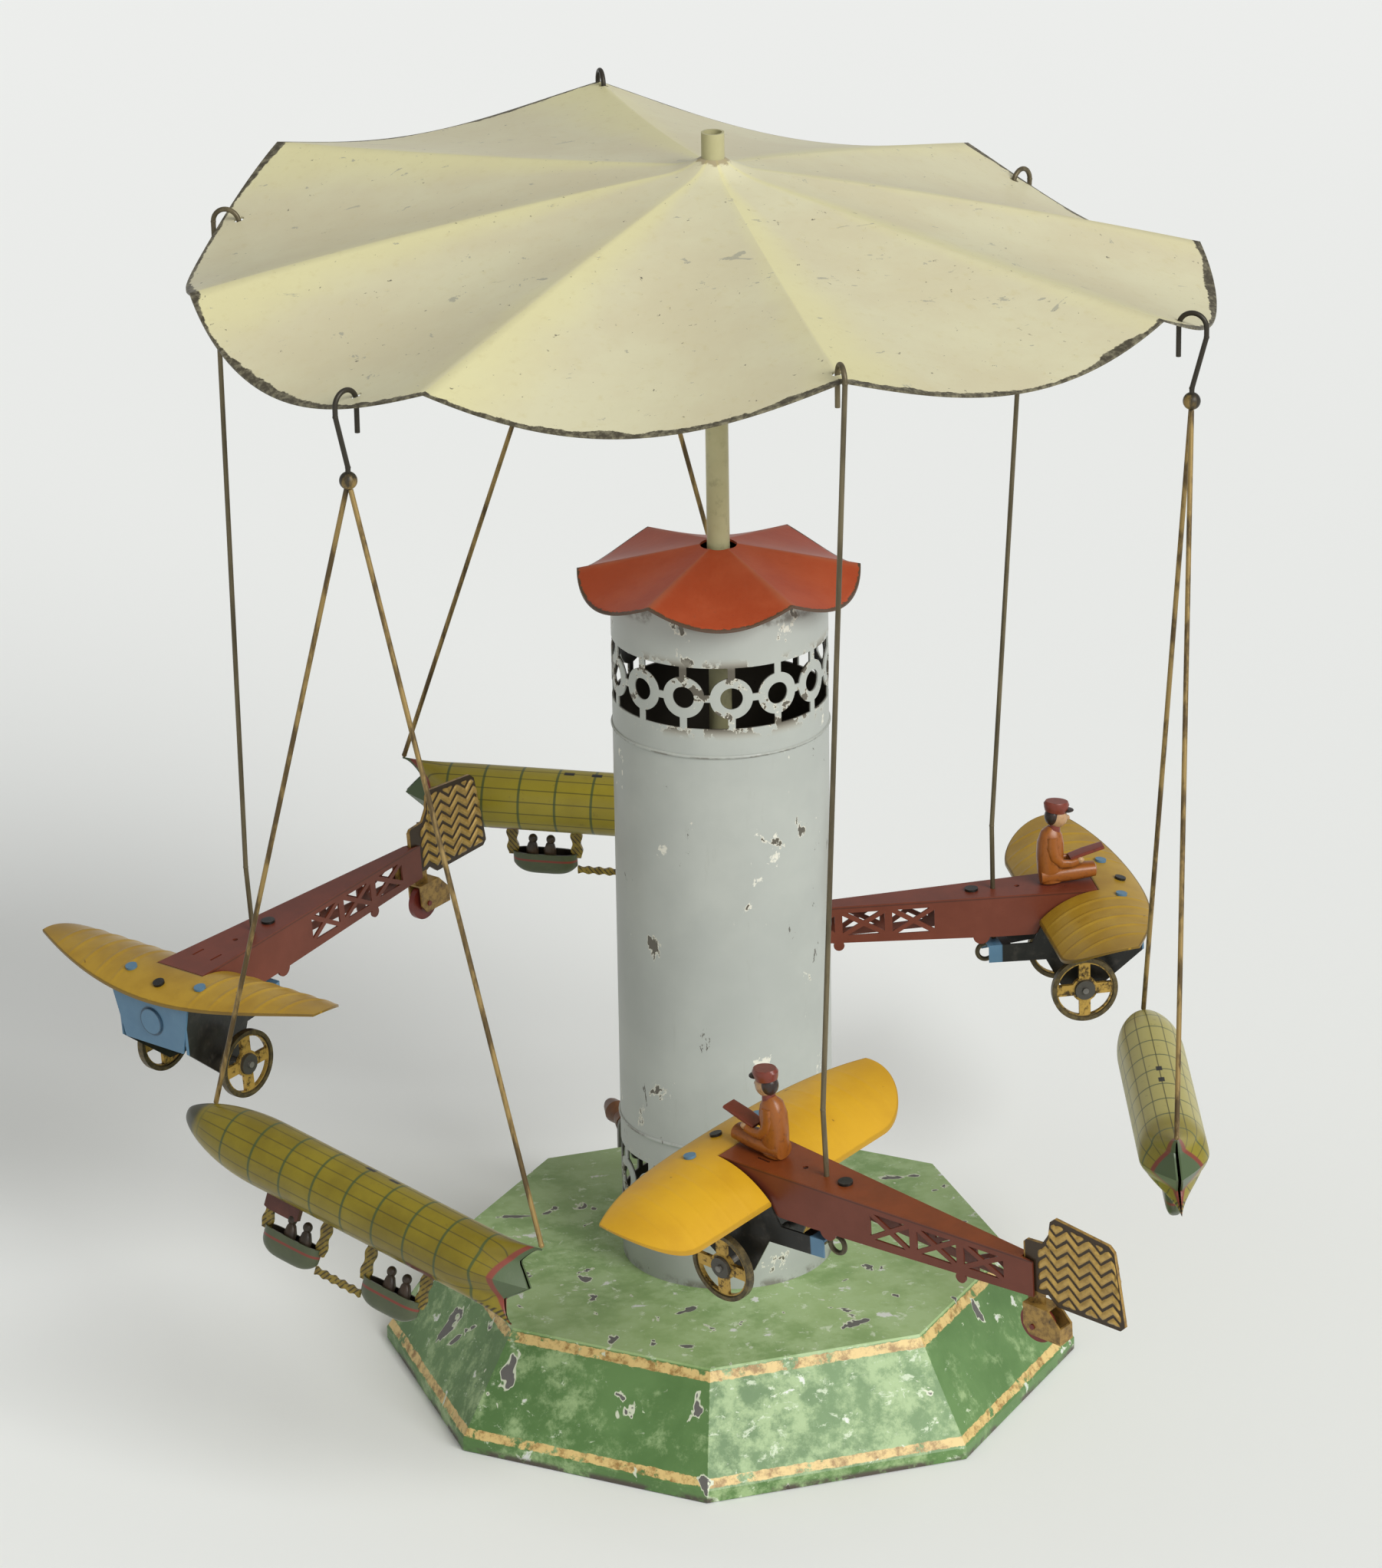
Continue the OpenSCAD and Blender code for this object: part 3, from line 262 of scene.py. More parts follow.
def airship_place(name):
    """An airship's frame: from its hook outwards and down, then turned to its heading, pitched and rolled."""
    heading, pitch, roll, hang = AIRSHIP_HANG[name]
    hook = Vector(JOINTS[name + "_swing"]["pos_m"]) / MM
    middle = hook + turned(math.degrees(math.atan2(hook.y, hook.x))) @ Vector(hang)
    return (Matrix.Translation(middle) @ turned(heading) @ Matrix.Rotation(math.radians(-pitch), 4, "Y")
            @ Matrix.Rotation(math.radians(roll), 4, "X"))


# Shapes of the stand and the canopy

SAG_POWER = 1.6
GORES = 8
CANOPY_R = 140
CANOPY_T = 0.6
CANOPY_HUB_R = 3.2
CANOPY_HUB_Z = 350.5
CANOPY_TURN = -95.4
CANOPY_FALL = 21.8
CANOPY_SAG = 11
# The neck round the spindle: how high it stands and how far it reaches
NECK_RISE = 2.5
NECK_REACH = 10
# Bends of the sheet, each with the direction of its highest or longest side; the lean is an angle too
SADDLE, SADDLE_TURN = 7.5, 17
LEAN, LEAN_TURN = 2.3, 247
OFF_CENTRE, OFF_CENTRE_TURN = 3.4, 241
EDGE_SCALLOP = 1.5
HOOK_TURNS = np.array([0, 57, 126.5, 180, 240, 303.6])
HOOK_HOLE_R = 1.5
# Lines of the grid from the edge inwards, the one through the hook holes, and the start of the open field
EDGE_LINES = np.array([0, 1.1, 2.2, 3.3, 4.8, 5.6, 6.4, 7.9])
HOOK_LINE = 5
FIELD_START = 9
# Neighbours round a grid point, counter-clockwise
RING = np.array([(1, 0), (1, 1), (0, 1), (-1, 1), (-1, 0), (-1, -1), (0, -1), (1, -1)])
COLUMN_R = 30
COLUMN_TOP_Z = 234.5
ROOF_LOBES = 6
ROOF_R = 39
ROOF_T = 0.7
ROOF_HOLE_R = 5.1
ROOF_TURN = -18.3
ROOF_DROP = 6.4
ROOF_SAG = 5
ROOF_CLEARANCE = 0.2
# The lowest part of the sheet over the column's rim clears it
ROOF_HUB_Z = (COLUMN_TOP_Z + ROOF_CLEARANCE + ROOF_T
              + ROOF_DROP * (COLUMN_R - ROOF_HOLE_R) / (ROOF_R - ROOF_HOLE_R)
              + ROOF_SAG * (COLUMN_R / ROOF_R) ** SAG_POWER)


def flute(a, n):
    """The sag between n ridges as a share: 0 on each ridge, and a half sine wave up to 1 between two."""
    return np.sin(np.pi * ((np.asarray(a) * n / 360) % 1))


def canopy_edge(a):
    """Distance of the canopy's edge from the axis: shorter between ridges, and the sheet is off centre."""
    return (CANOPY_R - EDGE_SCALLOP * flute(a, GORES)
            + OFF_CENTRE * np.cos(np.radians(a - OFF_CENTRE_TURN)))


def canopy_rows():
    """Angles of the grid's spokes, closer together beside the hook holes, and the row of each hole."""
    plain = np.arange(0, 360, 1.25)
    clear = np.abs((plain[:, None] - HOOK_TURNS + 180) % 360 - 180).min(1) > 1.2
    close = np.add.outer(HOOK_TURNS, (-1, -0.35, 0, 0.35, 1)).ravel() % 360
    a = np.sort(np.concatenate([plain[clear], close]))
    return a, np.searchsorted(a, HOOK_TURNS)


def canopy_grid():
    """Spokes of points that fall from hub to edge, sag between ridges, and follow a saddle and a lean.

    The eight points round each hook hole stand on a circle.
    """
    a, rows = canopy_rows()
    edge = canopy_edge(a)[:, None]
    field = CANOPY_HUB_R + (edge - FIELD_START - CANOPY_HUB_R) * np.linspace(1, 0, 40) ** 1.2
    r = np.concatenate([edge - EDGE_LINES, field], 1)
    a = a[:, None] + 0 * r
    i = (rows[:, None] + RING[:, 0]) % len(a)
    j = HOOK_LINE + RING[:, 1]
    off = RING / np.linalg.norm(RING, axis=1)[:, None] * HOOK_HOLE_R
    reach = r[rows, HOOK_LINE][:, None]
    r[i, j] = reach - off[:, 1]
    a[i, j] = HOOK_TURNS[:, None] + np.degrees(off[:, 0] / reach)
    far = r / CANOPY_R
    turn = np.radians(a)
    z = (CANOPY_HUB_Z + NECK_RISE * np.clip(1 - (r - CANOPY_HUB_R) / NECK_REACH, 0, None) ** 2
         - CANOPY_FALL * (r - CANOPY_HUB_R) / (CANOPY_R - CANOPY_HUB_R)
         - CANOPY_SAG * flute(a, GORES) * far ** SAG_POWER
         + SADDLE * far ** 2 * np.cos(2 * (turn - math.radians(SADDLE_TURN)))
         + math.tan(math.radians(LEAN)) * r * np.cos(turn - math.radians(LEAN_TURN)))
    return np.stack([r * np.cos(turn), r * np.sin(turn), z], -1), canopy_edge(a) - r, rows


def holed(faces, nu, nv, rows, line):
    """Drops the faces round a grid point of each row in both skins of a sheet, and walls the hole."""
    corner = ((rows[:, None] + (-1, -1, 0, 0)) % nu) * (nv - 1) + line + (-1, 0, -1, 0)
    keep = np.ones(len(faces), bool)
    keep[np.concatenate([corner, corner + nu * (nv - 1)])] = False
    ring = ((rows[:, None] + RING[:, 0]) % nu) * nv + line + RING[:, 1]
    after = np.roll(ring, -1, 1)
    wall = np.stack([ring, after, after + nu * nv, ring + nu * nv], -1).reshape(-1, 4)
    return np.concatenate([faces[keep], wall])


def roof_grid(nr=24, per_lobe=32):
    """Spokes of points that fall from the hole to the tips and sag between six ridges."""
    a = np.arange(ROOF_LOBES * per_lobe)[:, None] * 360 / ROOF_LOBES / per_lobe
    r = np.linspace(ROOF_R, ROOF_HOLE_R, nr)[None, :]
    z = (ROOF_HUB_Z - ROOF_DROP * (r - ROOF_HOLE_R) / (ROOF_R - ROOF_HOLE_R)
         - ROOF_SAG * flute(a, ROOF_LOBES) * (r / ROOF_R) ** SAG_POWER)
    turn = np.radians(a)
    return np.stack([r * np.cos(turn), r * np.sin(turn), z], -1), ROOF_R - r + 0 * a


# Shapes of the toys

HULL_STERN_X = -60.76
HULL_BOW_X = 63.24
HULL_R = 9.5
HULL_T = 0.5
HULL_END_HALF_WIDTH = 0.9
HULL_END_HALF_HEIGHT = 1.6
# Shares of the length: the stern pinches up to the first, and the bow rounds off from the second
HULL_PINCH = 0.15
HULL_NOSE = 0.75
STERN_FLARE = 2
STERN_RAKE = 1.5
# The stern's zigzag: degrees from the hull's middle line, and how far the edge is cut forwards there
STERN_TURNS, STERN_CUTS = (0, 30, 90), (-1, 5, 0)
BOAT_X = 18
BOAT_Z = -18.3
BOAT_T = 0.5
BOAT_HALF = 9.9
BOAT_HALF_WIDTH = 2.5
BOAT_DEPTH = 7.4
BOAT_KEEL_RISE = 3.2
BOAT_GUNWALE = 0.4
BOAT_SQUARENESS = 0.65
STRUT_TOP_Z = -9.45
WALKWAY_Z = -23.5
PLAQUE_Z = -11.6
PLAQUE_LENGTH = 12
WING_T = 0.6
WING_ARC_R = 27
WING_CREST_X = 31.5
WING_MID_X = 29
# The half circles of the tips, the leading edge's arc, and the notch at the root
WING_TIP_R, WING_TIP_Y = 17, 37
WING_LEAD_R, WING_LEAD_X = 118, -73
WING_ROOT_Y, WING_ROOT_X = 9.1, 30.2
RIB_YS = (16, 23, 30, 37, 44)
RIB_WIDTH = 0.6
RIB_RAKE = 0.05
# Outlines of the rudder as rows of X and Z, and the back and front of its herringbone
RUDDER_TOP = ((-99.5, -96.7, -95, -77.5, -75.9, -75.3, -73.1, -67.9, -66.9),
              (-10, 11, 12.6, 14.4, 13, 9, 5.6, 5.2, 4.2))
RUDDER_LOW = ((-99.5, -98, -77.5, -74.5, -73, -67), (-10, -11.5, -11.8, -9.2, -9.6, -9.4))
RUDDER_BACK_X, RUDDER_FRONT_X = -99.5, -70.5
RUDDER_HALF_T = 0.45
RIPPLE_HEIGHT = 0.55
RIPPLE_PITCH = 3.4
ZIGZAG_PITCH = 7.2
ZIGZAG_RISE = 6.2
WHEEL_X, WHEEL_Z = 23.9, -28.2
PILOT_SEAT = (14, 0, 0.05)


def hull_half(inset, nx=110, nt=41):
    """Half-ellipse sections that pinch to an upright zigzag stern and round off to the bow."""
    s = (1 - np.cos(np.pi * np.arange(nx)[:, None] / (nx - 1))) / 2
    t = np.linspace(90, -90, nt)[None, :]
    nose = np.clip(1 - (np.clip(s - HULL_NOSE, 0, None) / (1 - HULL_NOSE)) ** 2, 0, None) ** 0.75
    pinch = np.sin(np.radians(np.minimum(90, 90 * s / HULL_PINCH)))
    w = HULL_END_HALF_WIDTH + (HULL_R - HULL_END_HALF_WIDTH) * pinch * nose
    h = (HULL_END_HALF_HEIGHT + (HULL_R - HULL_END_HALF_HEIGHT) * nose
         + STERN_FLARE * np.clip(1 - s / HULL_PINCH, 0, None) ** 2)
    turn = np.radians(t)
    end = HULL_STERN_X + np.interp(np.abs(t), STERN_TURNS, STERN_CUTS) + STERN_RAKE * (1 - np.sin(turn))
    return np.stack([end + (HULL_BOW_X - end) * s, 0.02 + (w - inset) * np.cos(turn),
                     (h - inset) * np.sin(turn)], -1)


def boat(inset, nu=48, nv=21):
    """Squarish round sections along an open boat: both stems are narrow, and the keel rises to them."""
    s = np.sin(np.linspace(-np.pi / 2, np.pi / 2, nu))[:, None]
    v = np.linspace(-np.pi / 2, np.pi / 2, nv)[None, :]
    breadth = np.maximum(BOAT_HALF_WIDTH * (1 - np.abs(s) ** 5) ** 0.5 - inset, 0.03)
    depth = BOAT_DEPTH - BOAT_KEEL_RISE * np.abs(s) ** 4 - inset
    across = np.sign(np.sin(v)) * np.abs(np.sin(v)) ** BOAT_SQUARENESS
    return np.stack([(BOAT_HALF - inset) * s + 0 * v, breadth * across,
                     BOAT_GUNWALE - depth * np.cos(v) ** BOAT_SQUARENESS], -1)


def strip(start, end, half, t=1.0, n=48):
    """A flat upright strip between two points in X and Z, with a half width that varies along it."""
    s = np.linspace(0, 1, n)[:, None]
    start, end = np.array(start, float), np.array(end, float)
    along = (end - start) / np.linalg.norm(end - start)
    side = np.linspace(-1, 1, 3)[None, :] * half(s)
    x = start[0] + (end - start)[0] * s - along[1] * side
    z = start[1] + (end - start)[1] * s + along[0] * side
    return shell(np.stack([x, np.full_like(x, -t / 2), z], -1), np.stack([x, np.full_like(x, t / 2), z], -1))


def wing_grid(inset, rib, nc=30):
    """Chords from the leading to the trailing edge over the span, on a circular camber with raised ribs."""
    end = WING_TIP_Y + WING_TIP_R - 0.02
    tips = np.geomspace(0.02, 4, 14)
    notch = np.array([WING_ROOT_Y, WING_ROOT_Y - 0.0001])
    y = np.sort(np.concatenate([np.linspace(-end, end, 221), end - tips, tips - end, notch, -notch]))[:, None]
    far = np.abs(y)
    tip = np.sqrt(np.clip(WING_TIP_R ** 2 - np.clip(far - WING_TIP_Y, 0, None) ** 2, 0, None))
    front = np.minimum(WING_LEAD_X + np.sqrt(WING_LEAD_R ** 2 - y ** 2),
                       np.where(far > WING_TIP_Y, WING_MID_X + tip, np.inf))
    rear = np.where(far < WING_ROOT_Y, WING_ROOT_X, WING_MID_X - tip)
    s = np.linspace(1, 0, nc)[None, :]
    x = rear + (front - rear) * s
    rake = RIB_RAKE * (x - WING_MID_X)
    ribs = sum(np.exp(-((far - at + rake) / RIB_WIDTH) ** 2) for at in RIB_YS)
    lift = rib * np.minimum(ribs, 1) * np.clip((far - 10) / 6, 0, 1) * np.sin(np.pi * s) ** 0.5
    z = -WING_ARC_R + np.sqrt((WING_ARC_R - inset + lift) ** 2 - (x - WING_CREST_X) ** 2)
    return np.stack([x, y + 0 * x, z], -1), np.minimum(x - rear, front - x)


def rudder_skin(side, nx=130, nz=100):
    """Relief on one face of the rudder, between its lower and upper outline: a sine wave in height,
    which a zigzag along the length shifts into a herringbone.
    """
    x = np.linspace(RUDDER_BACK_X + 0.2, RUDDER_TOP[0][-1] - 0.5, nx)[:, None]
    top = np.interp(x, *RUDDER_TOP)
    low = np.interp(x, *RUDDER_LOW)
    z = low + (top - low) * np.linspace(0, 1, nz)[None, :]
    x = x + 0 * z
    inside = np.minimum(np.minimum(z - low, top - z), np.minimum(x - RUDDER_BACK_X, RUDDER_FRONT_X - x))
    zigzag = np.abs(((x - RUDDER_BACK_X) / ZIGZAG_PITCH) % 1 - 0.5)
    ripple = 0.5 + 0.5 * np.sin(2 * np.pi * (z + ZIGZAG_RISE * zigzag) / RIPPLE_PITCH)
    lift = 0.06 + RIPPLE_HEIGHT * ripple * np.clip(inside - 1, 0, 1)
    front = np.stack([x, side * (RUDDER_HALF_T + lift), z], -1)
    return front, np.stack([x, np.full_like(x, side * RUDDER_HALF_T), z], -1)


def blob(centre, size, nu=28, nv=18):
    """A closed ellipsoid: a ball's longitudes and latitudes, scaled by three half sizes."""
    u = 2 * np.pi * np.arange(nu)[:, None] / nu
    v = np.linspace(-np.pi / 2, np.pi / 2, nv)[None, :]
    p = np.stack([np.cos(v) * np.cos(u), np.cos(v) * np.sin(u), np.sin(v) + 0 * u], -1)
    return (p * size + centre).reshape(-1, 3), grid_faces(nu, nv, True)


def tube(path, sizes, nu=24, power=0.85):
    """Rounded sections, each a half width and a depth, strung along points in XZ, with closed ends."""
    path, sizes = np.array(path, float), np.array(sizes, float)
    along = np.gradient(path, axis=0)
    along /= np.linalg.norm(along, axis=1)[:, None]
    across = np.stack([along[:, 2], np.zeros(len(path)), -along[:, 0]], -1)
    u = -2 * np.pi * np.arange(nu) / nu
    c, s = (np.sign(f) * np.abs(f) ** power for f in (np.cos(u), np.sin(u)))
    ring = (c[:, None, None] * sizes[None, :, :1] * np.array([0, 1, 0])
            + s[:, None, None] * sizes[None, :, 1:] * across[None])
    caps = [np.repeat(path[None, k], nu, 0)[:, None] for k in (0, -1)]
    p = np.concatenate([caps[0], path[None] + ring, caps[1]], 1)
    return p.reshape(-1, 3), grid_faces(nu, len(path) + 2, True)


# Finishes of the stand and the canopy

# Heights in metres of the base's top and lines, and of the column's pierced bands and beads
BASE_TOP = 0.031
GOLD_LINES = ((0.0283, 0.0307), (0.0041, 0.0063))
RING_BANDS = ((0.1985, 0.2190), (0.0470, 0.0675))
BEADS = ((0.1915, 0.1921), (0.0743, 0.0749))


def base_paint():
    """Green paint, faded on the front face and the top, with scratches, chips and two worn gold lines."""
    m = Paint("green_base")
    v = m.object()
    x, y, z = m.xyz(v)
    green = m.tones(m.step(m.noise(v, 30.0, 5.0, 0.62), 0.36, 0.66), (84, 118, 66), (100, 134, 80))
    top = m.step(z, BASE_TOP - 0.0002, BASE_TOP + 0.0001)
    above = m.tones(m.step(m.noise(v, 26.0, 5.0, 0.62), 0.36, 0.62), (126, 156, 96), (156, 181, 124))
    green = m.mix(top, green, above)
    front = m.step(m.add(m.times(m.math("ABSOLUTE", x), 2.414), y), 0.001, 0.0)
    left = m.step(x, -0.055, -0.06)
    sides = m.times(m.either(front, m.times(left, 0.6)), m.step(z, BASE_TOP + 0.0002, BASE_TOP))
    faded = m.add(m.times(sides, 0.11), m.times(top, 0.1))
    cloudy = m.noise(v, 105.0, 8.0, 0.74)
    green = m.over(m.times(m.step(m.add(cloudy, faded), 0.52, 0.72), 0.8), green, (164, 188, 136))
    fleck = m.noise(m.stretch(v, 1, 1, 1.5), 190.0, 8.0, 0.72, 0.4)
    bright = m.step(m.add(fleck, m.times(faded, 0.5)), 0.63, 0.70)
    green = m.over(m.times(bright, 0.75), green, (204, 216, 188))
    ragged = m.add(z, m.times(m.add(m.noise(v, 420.0, 4.0), -0.5), 0.0011))
    lines = m.bands(ragged, GOLD_LINES, 0.0001)
    lines = m.times(lines, m.step(m.noise(v, 170.0, 6.0, 0.7), 0.38, 0.46))
    gold = m.tones(m.step(m.noise(v, 300.0, 6.0, 0.7), 0.34, 0.56), (150, 118, 66), (216, 188, 124))
    colour = m.mix(lines, green, gold)
    colour = m.chipped(colour, v, 110.0, 0.665, (212, 215, 208), (182, 198, 164))[0]
    level = m.add(m.noise(m.stretch(v, 1, 1, 0.7), 92.0, 3.5, 0.55, 0.4), m.times(top, 0.025))
    colour = m.over(m.step(level, 0.655, 0.665), colour, (202, 208, 184))
    chip = m.step(level, 0.675, 0.682)
    colour = m.over(chip, colour, (112, 110, 106))
    foot = m.times(m.step(z, 0.0022, 0.0006), m.step(m.noise(v, 46.0, 5.0, 0.7), 0.45, 0.55))
    colour = m.over(foot, colour, (82, 76, 66))
    m.bump(m.add(fleck, m.times(chip, -1.0)), 0.0002, 0.5)
    return m.done(colour, m.add(0.42, m.times(chip, 0.15)), m.times(chip, 0.4), 0.1)


def column_paint():
    """Grey paint outside with chips, drips, worn beads and rust round the rings; painted shade inside and at
    both ends.
    """
    m = Paint("grey_column")
    v = m.object()
    x, y, z = m.xyz(v)
    grey = m.tones(m.step(m.noise(v, 22.0, 5.0), 0.35, 0.68), (164, 168, 162), (174, 178, 171))
    streak = m.noise(m.stretch(v, 1, 1, 0.16), 210.0, 6.0, 0.7)
    grey = m.over(m.times(m.step(streak, 0.60, 0.76), 0.35), grey, (150, 150, 142))
    drawn = m.stretch(v, 1, 1, 0.7)
    colour, pale = m.chipped(grey, drawn, 120.0, 0.68, (216, 214, 200), (206, 206, 194), 0.012)
    colour, chip = m.chipped(colour, drawn, 60.0, 0.665, (96, 92, 82), (212, 210, 196), 0.012)
    speck = m.noise(m.stretch(v, 1, 1, 0.45), 150.0, 6.0, 0.7, 0.3)
    colour = m.over(m.times(m.step(speck, 0.665, 0.68), 0.85), colour, (70, 64, 54))
    rings = m.bands(z, RING_BANDS, 0.002)
    worn = m.add(m.noise(v, 120.0, 6.0, 0.66), m.times(m.step(y, -0.010, -0.026), 0.035))
    colour = m.over(m.times(rings, m.step(worn, 0.555, 0.565)), colour, (206, 203, 188))
    colour = m.over(m.times(rings, m.step(worn, 0.57, 0.58)), colour, (94, 89, 78))
    bead = m.bands(z, BEADS, 0.0002)
    # Painted shade at both ends, where the column meets the base and runs under the roof, laid on together
    # with the worn beads.
    ends = m.either(m.step(z, 0.0345, 0.032), m.step(z, 0.2275, 0.2298))
    bead_wear_and_end_shade = m.times(m.either(bead, ends), m.step(m.noise(v, 90.0, 5.0, 0.7), 0.44, 0.58))
    colour = m.over(m.times(bead_wear_and_end_shade, 0.75), colour, (104, 98, 88))
    # Painted shade: the tube's inner wall is darkened, as its inside lies in shade.
    inner_wall_shade = m.step(m.round(x, y), COLUMN_R * MM - 0.0003, COLUMN_R * MM - 0.0005)
    colour = m.over(inner_wall_shade, colour, (58, 54, 46))
    m.bump(m.math("SUBTRACT", 1.0, m.either(chip, pale)), 0.00012, 0.5)
    return m.done(colour, 0.4, m.times(chip, 0.3), 0.1)


def canopy_paint():
    """Cream paint, tinted yellow beside each ridge, with specks, grey scuffs and a bare strip at the edge."""
    m = Paint("cream_canopy")
    v = m.mark("paint")
    x, y = m.xyz(v)[:2]
    rim = m.mark("rim", 2)
    cloudy = m.noise(v, 0.024, 5.0, 0.6)
    colour = m.tones(m.step(cloudy, 0.36, 0.66), (207, 199, 164), (212, 207, 172))
    gore = m.math("FRACT", m.add(m.times(m.math("ARCTAN2", y, x), GORES / math.tau), GORES))
    waver = m.add(gore, m.times(m.add(m.noise(v, 0.05, 3.0), -0.5), 0.16))
    yellow = m.either(m.step(waver, 0.30, 0.02), m.times(m.step(waver, 0.88, 1.0), 0.5))
    colour = m.over(m.times(yellow, 0.75), colour, (219, 213, 160))
    grain = m.noise(v, 0.3, 7.0, 0.7)
    colour = m.over(m.times(m.step(grain, 0.52, 0.75), 0.35), colour, (196, 184, 132))
    scuff = m.noise(m.stretch(v, 1, 0.6, 2), 0.15, 7.0, 0.66, 0.6)
    colour = m.over(m.times(m.step(scuff, 0.655, 0.67), 0.7), colour, (156, 156, 140))
    speck = m.noise(v, 0.42, 5.0, 0.7, 0.4)
    colour = m.over(m.times(m.step(speck, 0.675, 0.685), 0.85), colour, (84, 80, 70))
    width = m.add(m.times(m.step(m.noise(v, 0.028, 4.0, 0.6), 0.38, 0.66), 2.2), 0.6)
    ragged = m.add(rim, m.times(m.add(m.noise(v, 0.32, 5.0, 0.75), -0.5), 2.4))
    bare = m.step(m.math("SUBTRACT", ragged, width), 0.25, -0.1)
    tin = m.tones(m.step(m.noise(v, 0.5, 5.0, 0.7), 0.42, 0.66), (82, 76, 60), (138, 132, 108))
    colour = m.mix(bare, colour, tin)
    neck = m.step(m.add(m.round(x, y), m.times(m.noise(v, 0.6, 5.0), 5.0)), 7.6, 6.6)
    colour = m.over(m.times(neck, 0.6), colour, (122, 98, 62))
    m.bump(m.noise(v, 0.12, 4.0), 0.0004, 0.35)
    return m.done(colour, m.add(0.42, m.times(bare, 0.1)), m.times(bare, 0.4), 0.06)


def roof_paint():
    """Red paint, lighter on the ridges, with a thin worn edge and a few dark rubs."""
    m = Paint("red_roof")
    v = m.mark("paint")
    x, y = m.xyz(v)[:2]
    rim = m.mark("rim", 2)
    colour = m.tones(m.step(m.noise(v, 0.07, 5.0, 0.6), 0.36, 0.66), (170, 68, 36), (178, 78, 46))
    lobe = m.math("FRACT", m.add(m.times(m.math("ARCTAN2", y, x), ROOF_LOBES / math.tau), ROOF_LOBES))
    ridge = m.either(m.step(lobe, 0.07, 0.0), m.step(lobe, 0.93, 1.0))
    colour = m.over(m.times(ridge, 0.35), colour, (178, 112, 86))
    grain = m.noise(v, 0.8, 6.0, 0.7)
    colour = m.over(m.times(m.step(grain, 0.60, 0.72), 0.5), colour, (128, 62, 44))
    edge = m.step(m.add(rim, m.times(m.add(grain, -0.5), 2.6)), 0.75, 0.45)
    colour = m.over(edge, colour, (86, 66, 52))
    m.bump(m.noise(v, 0.3, 4.0), 0.0003, 0.3)
    return m.done(colour, 0.42, 0.0, 0.1)


def two_tone(name, a, b, scale, rough=0.4, metal=0.0, coat=0.1, lengthwise=1.0):
    """Two tones in clouds with fine dark specks; lengthwise under 1 draws the clouds out upwards."""
    m = Paint(name)
    v = m.stretch(m.object(), 1, 1, lengthwise)
    colour = m.tones(m.step(m.noise(v, scale, 5.0, 0.62), 0.38, 0.64), a, b)
    grain = m.noise(v, scale * 6, 4.0)
    colour = m.over(m.times(m.step(grain, 0.55, 0.72), 0.35), colour, [c * 0.7 for c in a])
    m.bump(grain, 0.00008)
    return m.done(colour, rough, metal, coat)


def bridle_metal():
    """Brass legs with long dark streaks under a blackened hook."""
    m = Paint("bridle_metal")
    v = m.object()
    z = m.xyz(v)[2]
    streak = m.noise(m.stretch(v, 1, 1, 0.2), 260.0, 5.0, 0.62)
    colour = m.tones(m.step(streak, 0.42, 0.60), (150, 126, 78), (88, 72, 46))
    colour = m.over(m.step(m.add(z, m.times(streak, 0.02)), 0.304, 0.309), colour, (58, 54, 46))
    m.bump(streak, 0.00008)
    return m.done(colour, 0.42, 0.4)


# Finishes of the toys

def fuselage_paint(name, place, deck):
    """Red-brown sides and a deck in its own tone, with a dark line along the fold."""
    m = Paint(name + "_fuselage_paint")
    v = m.local(place)
    z = m.xyz(v)[2]
    cloudy = m.noise(v, 0.09, 5.0, 0.6)
    sides = m.tones(m.step(cloudy, 0.35, 0.7), (104, 50, 33), (112, 56, 39))
    above = m.tones(m.step(cloudy, 0.36, 0.66), deck, [c * 1.1 for c in deck])
    colour = m.mix(m.step(z, -0.35, -0.15), sides, above)
    colour = m.over(m.times(m.band(z, -0.85, -0.45, 0.1), 0.6), colour, (52, 30, 24))
    scuff = m.noise(v, 0.8, 6.0, 0.7)
    colour = m.over(m.times(m.step(scuff, 0.64, 0.74), 0.5), colour, (76, 46, 38))
    m.bump(cloudy, 0.0001)
    return m.done(colour, 0.4, 0.0, 0.1)


def wing_paint(name, light, dark, outline):
    """Yellow paint, duller towards the tips, with dark rubs, and an outline as strong as given."""
    m = Paint(name)
    v = m.mark("paint")
    y = m.xyz(v)[1]
    colour = m.tones(m.step(m.noise(v, 0.05, 5.0, 0.6), 0.35, 0.7), light, dark)
    colour = m.over(m.times(m.step(m.math("ABSOLUTE", y), 34.0, 54.0), 0.3), colour, [c * 0.86 for c in dark])
    rub = m.noise(m.stretch(v, 1, 0.5, 1), 0.5, 6.0, 0.7, 0.4)
    colour = m.over(m.times(m.step(rub, 0.68, 0.72), 0.75), colour, (104, 76, 34))
    edge = m.step(m.add(m.mark("rim", 2), m.times(m.noise(v, 0.5, 3.0), 0.3)), 0.75, 0.45)
    colour = m.over(m.times(edge, outline), colour, (70, 54, 24))
    m.bump(m.noise(v, 0.6, 3.0), 0.00008)
    return m.done(colour, 0.38, 0.0, 0.15)


